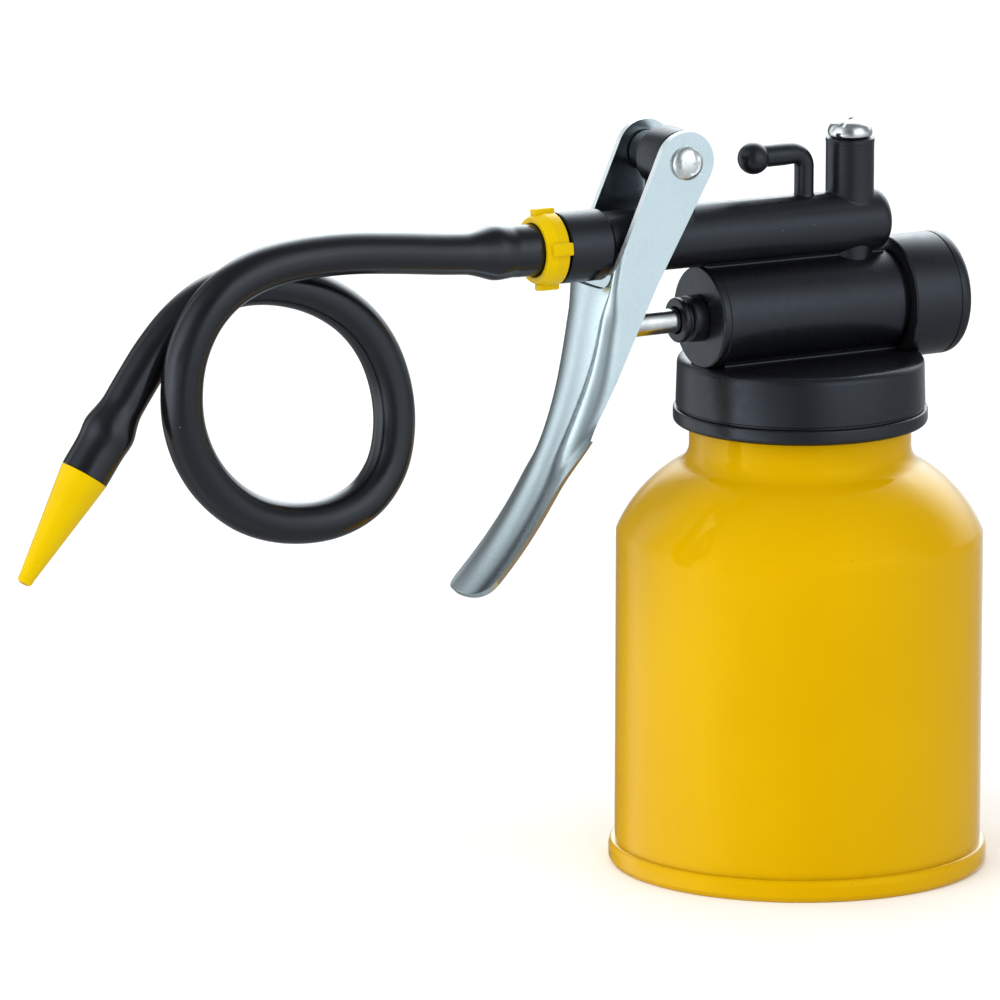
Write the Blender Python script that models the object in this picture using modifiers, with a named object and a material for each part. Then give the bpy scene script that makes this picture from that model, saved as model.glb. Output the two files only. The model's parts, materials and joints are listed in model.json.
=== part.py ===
"""Hand lever oil pump: a squeeze pump screwed on a round steel can, with a flexible delivery hose.

Sizes are in millimetres and turn into metres where the meshes are made. +Z is up, the can stands on
Z = 0 with its axis on Z, the hose leaves towards -X, and the plane Y = 0 halves the can and the pump.
"""

import math

import bmesh
import bpy
from mathutils import Matrix, Vector

MM = 0.001
GAP = 0.3

# Can
CAN_R = 37.5
CAN_WALL = 0.6
SEAM_R = 38.75
SEAM_HEIGHT = 4.6
BASE_PANEL_Z = 0.7
NECK_R = 22.7
NECK_TOP_Z = 99.3

# Pump head: screw cap, pump cylinder along X, barrel above it, valve post
CAP_R = 25.2
CAP_BORE_R = 23.1
CAP_LOW_Z = 91.7
CAP_CEILING_Z = 101.2
CAP_TOP_Z = 105.5
PUMP_Z = 115.4
CYLINDER_R = 10.5
CYLINDER_FRONT_X = -24.1
CYLINDER_REAR_X = 19.8
SPIGOT_R = 9.4
SPIGOT_END_X = 28.0
BORE_R = 7.5
BORE_FRONT_X = -17.4
REAR_CAP_R = 12.6
REAR_CAP_END_X = 33.7
REAR_CAP_FLOOR_X = 29.8
VALVE_X = 11.3
VALVE_BORE_R = 3.0
BALL_R = 2.5
SEAT_HOLE_R = 1.5
POST_R = 4.95
POST_TOP_Z = 149.4
BARREL_R = 6.45
BARREL_BOSS_R = 7.2
BARREL_REAR_X = 18.7
BARREL_FRONT_X = -57.2
BARREL_RISE = math.radians(0.7)
BARREL_AXIS = (0.0, 132.2)
NOSE_R = 6.2
NOSE_END_X = -59.8

# Lever and its pivot
PIVOT = (-32.4, 149.5)
SHEET = 1.4
LEVER_HALF_WIDTH = 9.0
EAR_R = 6.4
PIN_R = 2.0
WEB_TOP = (-50.65, 124.0)
WEB_TOP_ANGLE = math.radians(10.5)
WEB_STRAIGHT = 10.0
WEB_BEND_R = 88.0
WEB_LENGTH = 67.6
ROD_R = 2.5
ROD_FRONT_X = -50.3

# Hose, nozzle and collar
HOSE_R = 4.25
NOZZLE_LENGTH = 24.8
NOZZLE_BASE_R = 5.1
NOZZLE_TIP_R = 1.65
NOZZLE_HEADING = (-0.553, 0.0, -0.833)
LUG_TURN = math.radians(9.0)

# The hose's centreline: out of the collar, once round its loop and down to the nozzle.
HOSE_ROUTE = [
    (-61.8, 0.0, 133.05), (-71, 0, 133.3), (-82, 0, 134.1), (-94, -0.4, 135.5), (-106, -0.9, 136.6),
    (-117, -1.3, 136.5), (-126, -1.5, 135.1), (-133.2, -1.5, 131.9), (-138.4, -1.2, 126.8),
    (-141.6, -0.7, 120.1), (-142.5, 0.2, 112.5), (-141.4, 1.2, 104.4), (-138.0, 2.2, 96.6),
    (-132.5, 3.2, 89.9), (-125.0, 4.2, 84.6), (-115.8, 5.1, 81.7), (-106.0, 5.9, 81.4),
    (-97.8, 6.6, 84.2), (-92.4, 7.2, 90.1), (-90.3, 7.7, 98.0), (-90.9, 8.1, 106.6),
    (-94.0, 8.4, 114.8), (-99.5, 8.6, 121.6), (-107.1, 8.7, 126.6), (-115.8, 8.7, 129.5),
    (-124.5, 8.7, 130.2), (-131.8, 8.7, 128.5), (-138.3, 8.6, 124.5), (-143.9, 8.6, 118.8),
    (-148.5, 8.5, 112.7), (-152.5, 8.5, 106.8), (-156.0, 8.5, 101.3), (-160.0, 8.5, 95.5),
]


def clear_scene():
    for obj in list(bpy.data.objects):
        bpy.data.objects.remove(obj, do_unlink=True)


clear_scene()
part = bpy.data.collections.new("hand_lever_oil_pump")
helpers = bpy.data.collections.new("cutters_and_blanks")
bpy.context.scene.collection.children.link(part)
bpy.context.scene.collection.children.link(helpers)


def material(name, colour, roughness, metallic=0.0):
    made = bpy.data.materials.new(name)
    made.use_nodes = True
    shader = made.node_tree.nodes["Principled BSDF"]
    shader.inputs["Base Color"].default_value = (*colour, 1.0)
    shader.inputs["Roughness"].default_value = roughness
    shader.inputs["Metallic"].default_value = metallic
    return made


YELLOW_ENAMEL = ((0.80, 0.46, 0.0), 0.22, 0.0)
YELLOW_PLASTIC = ((0.85, 0.58, 0.01), 0.35, 0.0)
BLACK_PLASTIC = ((0.022, 0.022, 0.027), 0.42, 0.0)
BLACK_VINYL = ((0.014, 0.014, 0.018), 0.30, 0.0)
BLACK_RUBBER = ((0.02, 0.02, 0.02), 0.75, 0.0)
ZINC = ((0.62, 0.68, 0.72), 0.30, 1.0)
STEEL = ((0.60, 0.60, 0.60), 0.25, 1.0)
CHROME = ((0.80, 0.81, 0.83), 0.08, 1.0)
BRASS = ((0.72, 0.52, 0.22), 0.30, 1.0)
WHITE_PLASTIC = ((0.75, 0.75, 0.72), 0.45, 0.0)


def metres(points):
    return [Vector(point) * MM for point in points]


def add_node(obj, finish):
    """Makes the object a node of the part, with its own material."""
    obj.data.materials.append(material(obj.name + "_finish", *finish))
    part.objects.link(obj)
    return obj


def mesh_object(name, build):
    mesh = bpy.data.meshes.new(name)
    made = bmesh.new()
    build(made)
    made.to_mesh(mesh)
    made.free()
    return bpy.data.objects.new(name, mesh)


def arc(centre, radius, start, end, steps):
    """Points on an arc in the profile plane; angles in degrees, 0 along +r, 90 along +axis."""
    angles = [math.radians(start + (end - start) * step / steps) for step in range(steps + 1)]
    return [(centre[0] + radius * math.cos(a), centre[1] + radius * math.sin(a)) for a in angles]


def turned(name, profile, closed=False, steps=48):
    """A turned piece about local Z from (radius, height) points that run down its outer side."""
    def build(made):
        verts = [made.verts.new(point) for point in metres([(r, 0, h) for r, h in profile])]
        for first, second in zip(verts, verts[1:]):
            made.edges.new((first, second))
        if closed:
            made.edges.new((verts[-1], verts[0]))

    obj = mesh_object(name, build)
    screw = obj.modifiers.new("turn", "SCREW")
    screw.axis = "Z"
    screw.steps = steps
    screw.render_steps = steps
    screw.use_merge_vertices = True
    screw.merge_threshold = 0.00001
    screw.use_smooth_shade = True
    return obj


def ring(name, inner, outer, low, high, chamfer=0.0, steps=48):
    """A plain ring about local Z, with its outer edges chamfered where asked."""
    profile = [(inner, high), (outer - chamfer, high), (outer, high - chamfer),
               (outer, low + chamfer), (outer - chamfer, low), (inner, low)]
    if not chamfer:
        profile = [(inner, high), (outer, high), (outer, low), (inner, low)]
    return turned(name, profile, closed=True, steps=steps)


def rod(name, radius, low, high, steps=32):
    return turned(name, [(0, high), (radius, high), (radius, low), (0, low)], steps=steps)


def block(name, low, high):
    """A box between two corners."""
    size = [b - a for a, b in zip(low, high)]
    middle = [(a + b) / 2 for a, b in zip(low, high)]

    def build(made):
        bmesh.ops.create_cube(made, size=1.0)
        bmesh.ops.transform(made, matrix=Matrix.Diagonal((*metres([size])[0], 1)), verts=made.verts)
        bmesh.ops.translate(made, vec=metres([middle])[0], verts=made.verts)

    return mesh_object(name, build)


def outline(name, points, low_y, high_y):
    """A flat plate in the XZ plane between two Y values, from (x, z) points."""
    def build(made):
        verts = [made.verts.new(point) for point in metres([(x, low_y, z) for x, z in points])]
        face = made.faces.new(verts)
        grown = bmesh.ops.extrude_face_region(made, geom=[face])
        moved = [item for item in grown["geom"] if isinstance(item, bmesh.types.BMVert)]
        bmesh.ops.translate(made, vec=(0, (high_y - low_y) * MM, 0), verts=moved)
        bmesh.ops.recalc_face_normals(made, faces=made.faces)

    return mesh_object(name, build)


def along_x(obj, x=0.0, y=0.0, z=0.0):
    """Turns a piece so that its own +Z points to world +X, with its origin at (x, y, z)."""
    obj.matrix_world = Matrix.Translation(metres([(x, y, z)])[0]) @ Matrix.Rotation(math.pi / 2, 4, "Y")
    return obj


def along_y(obj, x, z):
    """Turns a piece so that its own +Z points to world -Y, through (x, z)."""
    obj.matrix_world = Matrix.Translation(metres([(x, 0, z)])[0]) @ Matrix.Rotation(math.pi / 2, 4, "X")
    return obj


def along_barrel(obj):
    """Turns a piece so that its own +Z runs along the barrel's axis, towards the rear."""
    place = Matrix.Translation(metres([(BARREL_AXIS[0], 0, BARREL_AXIS[1])])[0])
    obj.matrix_world = place @ Matrix.Rotation(math.pi / 2 + BARREL_RISE, 4, "Y")
    return obj


def at(obj, x=0.0, y=0.0, z=0.0):
    obj.location = metres([(x, y, z)])[0]
    return obj


def combine(obj, others, operation):
    """One Boolean of the object with all the others at once."""
    group = bpy.data.collections.new(f"{obj.name}_{operation.lower()}")
    helpers.children.link(group)
    for other in others:
        other.hide_render = True
        other.display_type = "WIRE"
        group.objects.link(other)
    boolean = obj.modifiers.new(group.name, "BOOLEAN")
    boolean.operation = operation
    boolean.operand_type = "COLLECTION"
    boolean.collection = group
    boolean.solver = "EXACT"


def barrel_z(x):
    """Height of the barrel's axis at x."""
    return BARREL_AXIS[1] - (x - BARREL_AXIS[0]) * math.tan(BARREL_RISE)


# ---------------------------------------------------------------- can

def can_outline(inset):
    """The can's side from its neck down to its bottom edge, moved inwards by the inset."""
    shoulder = (10.1, 57.3)
    shoulder_r = 29.8 - inset
    fillet_r = 4.4 + inset
    fillet = (NECK_R + 4.4, 86.98)
    lower = arc(shoulder, shoulder_r, 60.2, 23.4, 4)
    upper = arc(fillet, fillet_r, 180, 240.2, 3)
    return upper + lower + [(CAN_R - inset, 66.5)]


def make_can_shell():
    outer = [(NECK_R, NECK_TOP_Z - 0.5)] + can_outline(0.0) + [(CAN_R, 1.6)]
    inner = [(CAN_R - CAN_WALL, 1.6)] + can_outline(CAN_WALL)[::-1]
    rim = [(NECK_R - CAN_WALL, 97.6), (NECK_R - 1.6, 98.0), (NECK_R - 1.6, NECK_TOP_Z),
           (NECK_R - 0.5, NECK_TOP_Z)]
    add_node(turned("can_shell", outer + inner + rim, closed=True, steps=36), YELLOW_ENAMEL)


def make_can_base():
    panel = BASE_PANEL_Z
    profile = [
        (0, panel + 0.6), (28.8, panel + 0.6), (30.9, 3.4), (36.0, 3.4), (36.0, SEAM_HEIGHT),
        (36.6, SEAM_HEIGHT), (36.6, 1.3), (37.8, 1.3), (37.8, SEAM_HEIGHT), (38.35, 4.3),
        (SEAM_R, 3.0), (SEAM_R, 1.2), (38.1, 0), (36.0, 0), (36.0, 2.8), (31.2, 2.8), (29.1, panel),
        (0, panel),
    ]
    add_node(turned("can_base", profile, steps=36), YELLOW_ENAMEL)


def make_neck_gasket():
    low = NECK_TOP_Z + GAP
    high = CAP_CEILING_Z - GAP
    add_node(ring("neck_gasket", 18.6, NECK_R - 0.1, low, high, steps=32), BLACK_RUBBER)


# ---------------------------------------------------------------- pump body

def cap_blank():
    """The screw cap: a plain skirt over a slightly wider lip, with a rounded upper edge."""
    profile = [(0, CAP_TOP_Z), (CAP_R - 1.9, CAP_TOP_Z), (CAP_R - 0.95, CAP_TOP_Z - 0.25),
               (CAP_R - 0.25, CAP_TOP_Z - 0.95), (CAP_R, CAP_TOP_Z - 1.9), (CAP_R + 0.3, 95.6),
               (CAP_R + 0.05, 95.3), (CAP_R + 0.1, 94.95), (CAP_R + 0.8, 94.85), (CAP_R + 0.8, 92.9),
               (CAP_R + 0.5, 92.0), (CAP_R - 0.1, CAP_LOW_Z), (CAP_BORE_R, CAP_LOW_Z),
               (CAP_BORE_R, CAP_CEILING_Z), (0, CAP_CEILING_Z)]
    return turned("cap_blank", profile, steps=36)


def cylinder_blank():
    """The pump cylinder: chamfered front face, rounded rear shoulder, spigot for the rear cap."""
    profile = [(0, SPIGOT_END_X), (SPIGOT_R, SPIGOT_END_X), (SPIGOT_R, CYLINDER_REAR_X),
               (CYLINDER_R - 0.7, CYLINDER_REAR_X), (CYLINDER_R - 0.2, CYLINDER_REAR_X - 0.6),
               (CYLINDER_R, CYLINDER_REAR_X - 1.6), (CYLINDER_R, CYLINDER_FRONT_X + 0.4),
               (CYLINDER_R - 0.4, CYLINDER_FRONT_X), (0, CYLINDER_FRONT_X)]
    return along_x(turned("cylinder_blank", profile, steps=32), z=PUMP_Z)


def barrel_blank():
    """The delivery barrel: rounded rear end, wider boss at the front, nose for the collar nut."""
    round_r = 2.6
    corner = (BARREL_R - round_r, BARREL_REAR_X - round_r)
    profile = [(0, BARREL_REAR_X)] + arc(corner, round_r, 90, 0, 4)
    profile += [(BARREL_R, -47.0), (BARREL_BOSS_R, -48.0), (BARREL_BOSS_R, BARREL_FRONT_X),
                (NOSE_R, BARREL_FRONT_X), (NOSE_R, NOSE_END_X), (0, NOSE_END_X)]
    return along_barrel(turned("barrel_blank", profile, steps=28))


def post_blank():
    profile = [(0, POST_TOP_Z), (POST_R - 0.2, POST_TOP_Z), (POST_R, POST_TOP_Z - 0.2),
               (POST_R, PUMP_Z + 8.5), (0, PUMP_Z + 8.5)]
    return at(turned("post_blank", profile, steps=24), x=VALVE_X)


def lug_blanks():
    """The lever's bearing: a wide boss at the near side, a small hub at the far side, one neck."""
    near = along_y(turned("lug_boss_blank", [(0, 7.2), (6.1, 7.2), (6.3, 7.0), (6.3, -0.6),
                                             (6.1, -0.8), (0, -0.8)], steps=24), *PIVOT)
    far = along_y(rod("lug_hub_blank", 4.2, -7.2, 1.0, steps=16), *PIVOT)
    neck = block("lug_neck_blank", (-36.7, -5.6, 134.0), (-28.1, 0.8, PIVOT[1] - 1.0))
    return [near, far, neck]


def hook_blanks():
    """A bent rod that ends in a ball, for hanging the pump up; it stands on the barrel."""
    foot_x = 0.45
    bar_z = 147.25
    bend_r = 2.9
    ball_x = -11.5
    bend = [(foot_x - bend_r + bend_r * math.cos(a), bar_z - bend_r + bend_r * math.sin(a))
            for a in [math.radians(step * 90 / 4) for step in range(5)]]
    path = [(foot_x, barrel_z(foot_x) + 2.0)] + bend + [(ball_x, bar_z)]
    curve = wire("hook_rod", [(x, 0, z) for x, z in path], 2.1, resolution=2)
    bar = meshed(curve)

    def build(made):
        bmesh.ops.create_uvsphere(made, u_segments=12, v_segments=8, radius=3.25 * MM)

    ball = at(mesh_object("hook_ball", build), x=ball_x, z=bar_z - 0.2)
    return [bar, ball]


def wire(name, points, radius, resolution=2, radii=None):
    """A round wire or tube through the points, as a curve with filled ends."""
    curve = bpy.data.curves.new(name, "CURVE")
    curve.dimensions = "3D"
    curve.bevel_depth = radius * MM
    curve.bevel_resolution = resolution
    curve.use_fill_caps = True
    spline = curve.splines.new("POLY")
    spline.points.add(len(points) - 1)
    for index, point in enumerate(metres(points)):
        spline.points[index].co = (*point, 1.0)
        if radii:
            spline.points[index].radius = radii[index] / radius
    return bpy.data.objects.new(name, curve)


def meshed(curve_obj):
    """The curve as a closed mesh, its end caps welded on, so that it can be joined to others."""
    bpy.context.scene.collection.objects.link(curve_obj)
    bpy.context.view_layer.update()
    graph = bpy.context.evaluated_depsgraph_get()
    mesh = bpy.data.meshes.new_from_object(curve_obj.evaluated_get(graph))
    welded = bmesh.new()
    welded.from_mesh(mesh)
    bmesh.ops.remove_doubles(welded, verts=welded.verts, dist=0.000005)
    bmesh.ops.recalc_face_normals(welded, faces=welded.faces)
    welded.to_mesh(mesh)
    welded.free()
    name = curve_obj.name
    place = curve_obj.matrix_world.copy()
    bpy.data.objects.remove(curve_obj, do_unlink=True)
    obj = bpy.data.objects.new(name, mesh)
    obj.matrix_world = place
    return obj


def make_pump_body():
    body = cap_blank()
    body.name = "pump_body"
    relief = along_x(rod("rear_cap_relief", REAR_CAP_R + GAP, CYLINDER_REAR_X + 0.1, 40.0, steps=48), z=PUMP_Z)
    combine(body, [relief], "DIFFERENCE")
    web = block("barrel_web_blank", (-21.0, -1.8, PUMP_Z + 8.5), (15.5, 1.8, BARREL_AXIS[1] - 4.0))
    saddle = block("saddle_blank", (-20.8, -6.4, CAP_TOP_Z - 1.0), (19.6, 6.4, PUMP_Z - 4.0))
    inlet_boss = at(rod("inlet_boss_blank", 5.2, 88.5, CAP_CEILING_Z + 1.0), x=VALVE_X)
    combine(body, [cylinder_blank(), saddle, barrel_blank(), web, post_blank(), *lug_blanks(),
                   *hook_blanks(), inlet_boss], "UNION")
    core = turned("cylinder_core", [(0, 40.0), (BORE_R, 40.0), (BORE_R, BORE_FRONT_X),
                                    (3.0, BORE_FRONT_X), (3.0, BORE_FRONT_X - 0.7),
                                    (4.3, BORE_FRONT_X - 0.7), (4.3, -30.0), (0, -30.0)], steps=28)
    along_x(core, z=PUMP_Z)
    inlet = at(turned("inlet_core", [(0, 102.5), (VALVE_BORE_R, 102.5), (VALVE_BORE_R, 92.3), (2.7, 92.3),
                                     (2.7, 85.0), (0, 85.0)], steps=16), x=VALVE_X)
    inlet_slot = block("inlet_slot", (VALVE_X - 2.8, -0.7, 101.5), (VALVE_X + 2.8, 0.7, PUMP_Z - 6.0))
    outlet = at(turned("outlet_core", [(0, 155.0), (4.0, 155.0), (4.0, POST_TOP_Z - 0.8),
                                       (VALVE_BORE_R, POST_TOP_Z - 0.8), (VALVE_BORE_R, 126.6),
                                       (SEAT_HOLE_R, 126.6), (SEAT_HOLE_R, PUMP_Z + 5.0),
                                       (0, PUMP_Z + 5.0)], steps=16), x=VALVE_X)
    delivery = along_barrel(rod("delivery_bore", VALVE_BORE_R, -70.0, VALVE_X, steps=16))
    pin_hole = along_y(rod("pin_hole", PIN_R + GAP, -12.0, 12.0, steps=16), *PIVOT)
    combine(body, [core, inlet, inlet_slot, outlet, delivery, pin_hole], "DIFFERENCE")
    add_node(body, BLACK_PLASTIC)


def make_rear_cap():
    wall = SPIGOT_R + GAP
    front = CYLINDER_REAR_X + GAP
    end = REAR_CAP_END_X
    outer = REAR_CAP_R
    profile = [(0, end), (outer - 2.6, end), (outer - 1.1, end - 0.45), (outer - 0.3, end - 1.5),
               (outer, end - 2.7), (outer - 0.25, end - 2.85), (outer - 0.25, end - 3.05),
               (outer, end - 3.2), (outer, front + 0.3), (outer - 0.3, front), (wall, front),
               (wall, REAR_CAP_FLOOR_X), (0, REAR_CAP_FLOOR_X)]
    add_node(along_x(turned("rear_cap", profile, steps=32), z=PUMP_Z), BLACK_PLASTIC)
    seal = ring("rear_cap_seal", 6.5, SPIGOT_R - 0.1, SPIGOT_END_X + GAP, REAR_CAP_FLOOR_X - GAP, steps=24)
    add_node(along_x(seal, z=PUMP_Z), BLACK_RUBBER)


def make_rod_gland():
    """A flanged bush that keeps the rod seal in the cylinder's front wall."""
    bore = ROD_R + GAP
    profile = [(bore, -20.4), (4.0, -20.4), (4.0, CYLINDER_FRONT_X - GAP), (4.6, CYLINDER_FRONT_X - GAP),
               (4.6, -27.0), (3.75, -27.4), (3.75, -28.0), (4.75, -28.1), (4.75, -29.3),
               (4.45, -29.6), (bore, -29.6)]
    add_node(along_x(turned("rod_gland", profile, closed=True, steps=20), z=PUMP_Z), BLACK_PLASTIC)
    seal = ring("rod_seal", bore, 4.0, -20.1, -18.4, chamfer=0.4, steps=16)
    add_node(along_x(seal, z=PUMP_Z), BLACK_RUBBER)


# ---------------------------------------------------------------- valves and suction

def ball(name, z):
    def build(made):
        bmesh.ops.create_uvsphere(made, u_segments=12, v_segments=8, radius=BALL_R * MM)

    obj = at(mesh_object(name, build), x=VALVE_X, z=z)
    obj.data.shade_smooth()
    add_node(obj, STEEL)


def ball_rest(seat_z):
    """Height of a ball's centre over a sharp round seat, with the gap between them."""
    return seat_z + math.sqrt(BALL_R ** 2 - SEAT_HOLE_R ** 2) + GAP


def make_suction_side():
    tube = ring("suction_tube", 1.5, 2.4, 6.0, 92.3, steps=16)
    slant = block("tube_slant", (-6, -4, -6), (6, 4, 0))
    slant.matrix_world = Matrix.Translation(metres([(0, 0, 8.0)])[0]) @ Matrix.Rotation(math.radians(35), 4, "Y")
    combine(tube, [slant], "DIFFERENCE")
    place = at(tube, x=VALVE_X)
    slant.parent = place
    add_node(tube, WHITE_PLASTIC)
    seat = ring("inlet_valve_seat", SEAT_HOLE_R, 2.7, 92.6, 96.4, steps=16)
    add_node(at(seat, x=VALVE_X), BRASS)
    ball("inlet_check_ball", ball_rest(96.4))


def coil(radius, start, end, turns, dead, wire_r, per_turn):
    """Helix points about local Z: closed dead turns at both ends and an even pitch between."""
    count = round(turns * per_turn)
    pitch_dead = 2.15 * wire_r
    active = (end - start - 2 * dead * pitch_dead) / (turns - 2 * dead)
    points = []
    for step in range(count + 1):
        turn = step / per_turn
        low = min(turn, dead)
        high = max(0.0, turn - (turns - dead))
        height = start + pitch_dead * (low + high) + active * (turn - low - high)
        angle = 2 * math.pi * turn
        points.append((radius * math.cos(angle), radius * math.sin(angle), height))
    return points


def make_outlet_side():
    ball("outlet_check_ball", ball_rest(126.6))
    top = 143.0
    low = ball_rest(126.6) + BALL_R + GAP + 0.25
    spring = wire("outlet_valve_spring", coil(1.9, low, top - GAP - 0.25, 6, 1, 0.25, 8), 0.25)
    add_node(at(spring, x=VALVE_X), STEEL)
    head = POST_TOP_Z + GAP
    profile = [(0, head + 3.5), (1.8, head + 3.42), (3.0, head + 3.05), (3.95, head + 2.4),
               (4.5, head + 1.5), (4.6, head + 1.0), (4.45, head + 0.3), (4.2, head), (2.7, head),
               (2.7, top), (0, top)]
    screw = turned("valve_screw", profile, steps=24)
    slot = block("screw_slot", (-6, -0.55, head + 2.3), (6, 0.55, head + 5))
    slot.rotation_euler = (0, 0, math.radians(35))
    combine(screw, [slot], "DIFFERENCE")
    at(screw, x=VALVE_X)
    slot.parent = screw
    add_node(screw, CHROME)
    seal = ring("valve_screw_seal", 3.05, 3.7, POST_TOP_Z - 0.5, POST_TOP_Z, steps=16)
    add_node(at(seal, x=VALVE_X), BLACK_RUBBER)


# ---------------------------------------------------------------- piston and rod

def make_piston():
    front = BORE_FRONT_X + GAP
    rear = front + 8.0
    outer = BORE_R - GAP
    profile = [(0, rear), (outer - 0.3, rear), (outer, rear - 0.3), (outer, front + 5.0), (5.4, front + 5.0),
               (5.4, front + 3.0), (outer, front + 3.0), (outer, front + 0.3), (outer - 0.3, front),
               (2.2, front), (2.2, front + 5.9), (0, front + 5.9)]
    add_node(along_x(turned("piston", profile, steps=24), z=PUMP_Z), WHITE_PLASTIC)
    seal = ring("piston_seal", 5.7, BORE_R - 0.25, front + 3.3, front + 4.7, chamfer=0.35, steps=24)
    add_node(along_x(seal, z=PUMP_Z), BLACK_RUBBER)
    tip = ROD_FRONT_X
    rod_profile = [(0, front + 5.6), (1.9, front + 5.6), (1.9, front - GAP), (ROD_R, front - GAP),
                   (ROD_R, tip + 1.2), (ROD_R - 0.5, tip + 0.4), (ROD_R - 1.4, tip), (0, tip)]
    add_node(along_x(turned("piston_rod", rod_profile, steps=16), z=PUMP_Z), STEEL)
    spring = coil(5.6, rear + GAP + 0.5, REAR_CAP_FLOOR_X - GAP - 0.5, 8, 1, 0.5, 10)
    add_node(along_x(wire("return_spring", spring, 0.5), z=PUMP_Z), STEEL)


# ---------------------------------------------------------------- lever

def web_point(s):
    """(x, z, angle) of the web's outer face at distance s below its top edge: straight, then an arc."""
    angle = WEB_TOP_ANGLE + max(0.0, s - WEB_STRAIGHT) / WEB_BEND_R
    run = min(s, WEB_STRAIGHT)
    x = WEB_TOP[0] - run * math.sin(WEB_TOP_ANGLE)
    z = WEB_TOP[1] - run * math.cos(WEB_TOP_ANGLE)
    if s > WEB_STRAIGHT:
        x -= WEB_BEND_R * (math.cos(WEB_TOP_ANGLE) - math.cos(angle))
        z -= WEB_BEND_R * (math.sin(angle) - math.sin(WEB_TOP_ANGLE))
    return x, z, angle


def blend(value, low, high):
    t = min(1.0, max(0.0, (value - low) / (high - low)))
    return t * t * (3 - 2 * t)


def channel_section(depth, corner):
    """Half of the upper section as (y, depth) points: flat web, round corner, straight flange."""
    flat = LEVER_HALF_WIDTH - corner
    points = [(0, 0), (flat / 2, 0)]
    points += [(flat + corner * math.sin(a), corner * (1 - math.cos(a)))
               for a in [math.radians(22.5 * step) for step in range(5)]]
    return points + [(LEVER_HALF_WIDTH, depth)]


def gutter_section(half_width, radius):
    """Half of the lower section: a shallow arc with as many points as the channel section."""
    edge = math.asin(half_width / radius)
    count = len(channel_section(10.0, 5.5)) - 1
    angles = [edge * step / count for step in range(count + 1)]
    return [(radius * math.sin(a), radius * (1 - math.cos(a))) for a in angles]


def lever_section(s):
    """Half section at s: the deep channel turns into the shallow gutter, and the tip is rounded."""
    shallow = blend(s, 14.0, 40.0)
    depth = 26.0 - 18.5 * blend(s, -34.0, 22.0)
    half_width = LEVER_HALF_WIDTH - 1.7 * blend(s, 15.0, 45.0)
    tip = max(0.0, s - (WEB_LENGTH - 6.5)) / 6.5
    narrowing = (1 - min(tip, 0.985) ** 3) ** 0.45
    upper = channel_section(depth, 2.2 + 3.3 * blend(s, -3.0, 14.0))
    lower = gutter_section(half_width, 15.0 + 5.0 * blend(s, 34.0, WEB_LENGTH))
    return [((u[0] + (g[0] - u[0]) * shallow) * narrowing, u[1] + (g[1] * narrowing ** 2 - u[1]) * shallow)
            for u, g in zip(upper, lower)]


def lever_sheet():
    """The lever's outer face, as a grid of sections along the web, made solid by its sheet."""
    stations = [-38.5, -3.0, 2.0, 7.0] + [12.0 + 5.0 * step for step in range(10)]
    stations += [WEB_LENGTH - gap for gap in (6.5, 4.5, 2.8, 1.6, 0.7, 0.1)]

    def build(made):
        rows = []
        for s in stations:
            x, z, angle = web_point(s)
            half = lever_section(s)
            full = [(-y, d) for y, d in half[:0:-1]] + half
            row = [(x + d * math.cos(angle), y, z - d * math.sin(angle)) for y, d in full]
            rows.append([made.verts.new(point) for point in metres(row)])
        for upper, lower in zip(rows, rows[1:]):
            for k in range(len(upper) - 1):
                made.faces.new((upper[k], lower[k], lower[k + 1], upper[k + 1]))
        bmesh.ops.recalc_face_normals(made, faces=made.faces)

    sheet = mesh_object("lever", build)
    solid = sheet.modifiers.new("sheet", "SOLIDIFY")
    solid.thickness = SHEET * MM
    solid.offset = -1.0
    solid.use_even_offset = True
    return sheet


def tangent(angle, side):
    """Point where a line at this angle from the vertical touches the ear's end circle."""
    x = PIVOT[0] + side * EAR_R * math.cos(angle)
    z = PIVOT[1] - side * EAR_R * math.sin(angle)
    return x, z


def lever_side_view():
    """What the press keeps of the channel, seen from the side: two ears with round ends."""
    front_angle = math.radians(23.9)
    rear_angle = math.radians(29.7)
    knee_z = 125.0
    front_top = tangent(front_angle, -1)
    rear_top = tangent(rear_angle, 1)
    start = 180 - math.degrees(front_angle)
    end = -math.degrees(rear_angle)
    ear = [(PIVOT[0] + EAR_R * math.cos(a), PIVOT[1] + EAR_R * math.sin(a))
           for a in [math.radians(start + (end - start) * step / 12) for step in range(13)]]
    notch_z = WEB_TOP[1] + 2.8
    notch_x = front_top[0] - (front_top[1] - notch_z) * math.tan(front_angle)
    heel_z = 94.5
    knee_x = rear_top[0] - (rear_top[1] - knee_z) * math.tan(rear_angle)
    heel_x = knee_x - (knee_z - heel_z) * math.tan(math.radians(26.1))
    rest = [(knee_x, knee_z), (heel_x, heel_z), (-40.0, heel_z - 3.0), (-40.0, 40.0), (-95.0, 40.0), (-95.0, notch_z),
            (notch_x, notch_z)]
    return ear + rest


def make_lever():
    lever = lever_sheet()
    combine(lever, [outline("lever_side_view", lever_side_view(), -14.0, 14.0)], "INTERSECT")
    corner = 3.5
    half = 6.4
    low = WEB_TOP[1]
    notch_points = [(-half, low + 12), (-half, low + corner)]
    notch_points += [(-half + corner - corner * math.cos(a), low + corner - corner * math.sin(a))
                     for a in [math.radians(22.5 * step) for step in range(1, 5)]]
    notch_points += [(-y, z) for y, z in notch_points[::-1]]
    notch = outline("lever_notch", notch_points, 38.0, 62.0)
    notch.matrix_world = Matrix.Rotation(math.pi / 2, 4, "Z")
    hole = along_y(rod("lever_pin_hole", PIN_R + GAP, -12.0, 12.0, steps=16), *PIVOT)
    combine(lever, [notch, hole], "DIFFERENCE")
    add_node(lever, ZINC)


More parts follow.
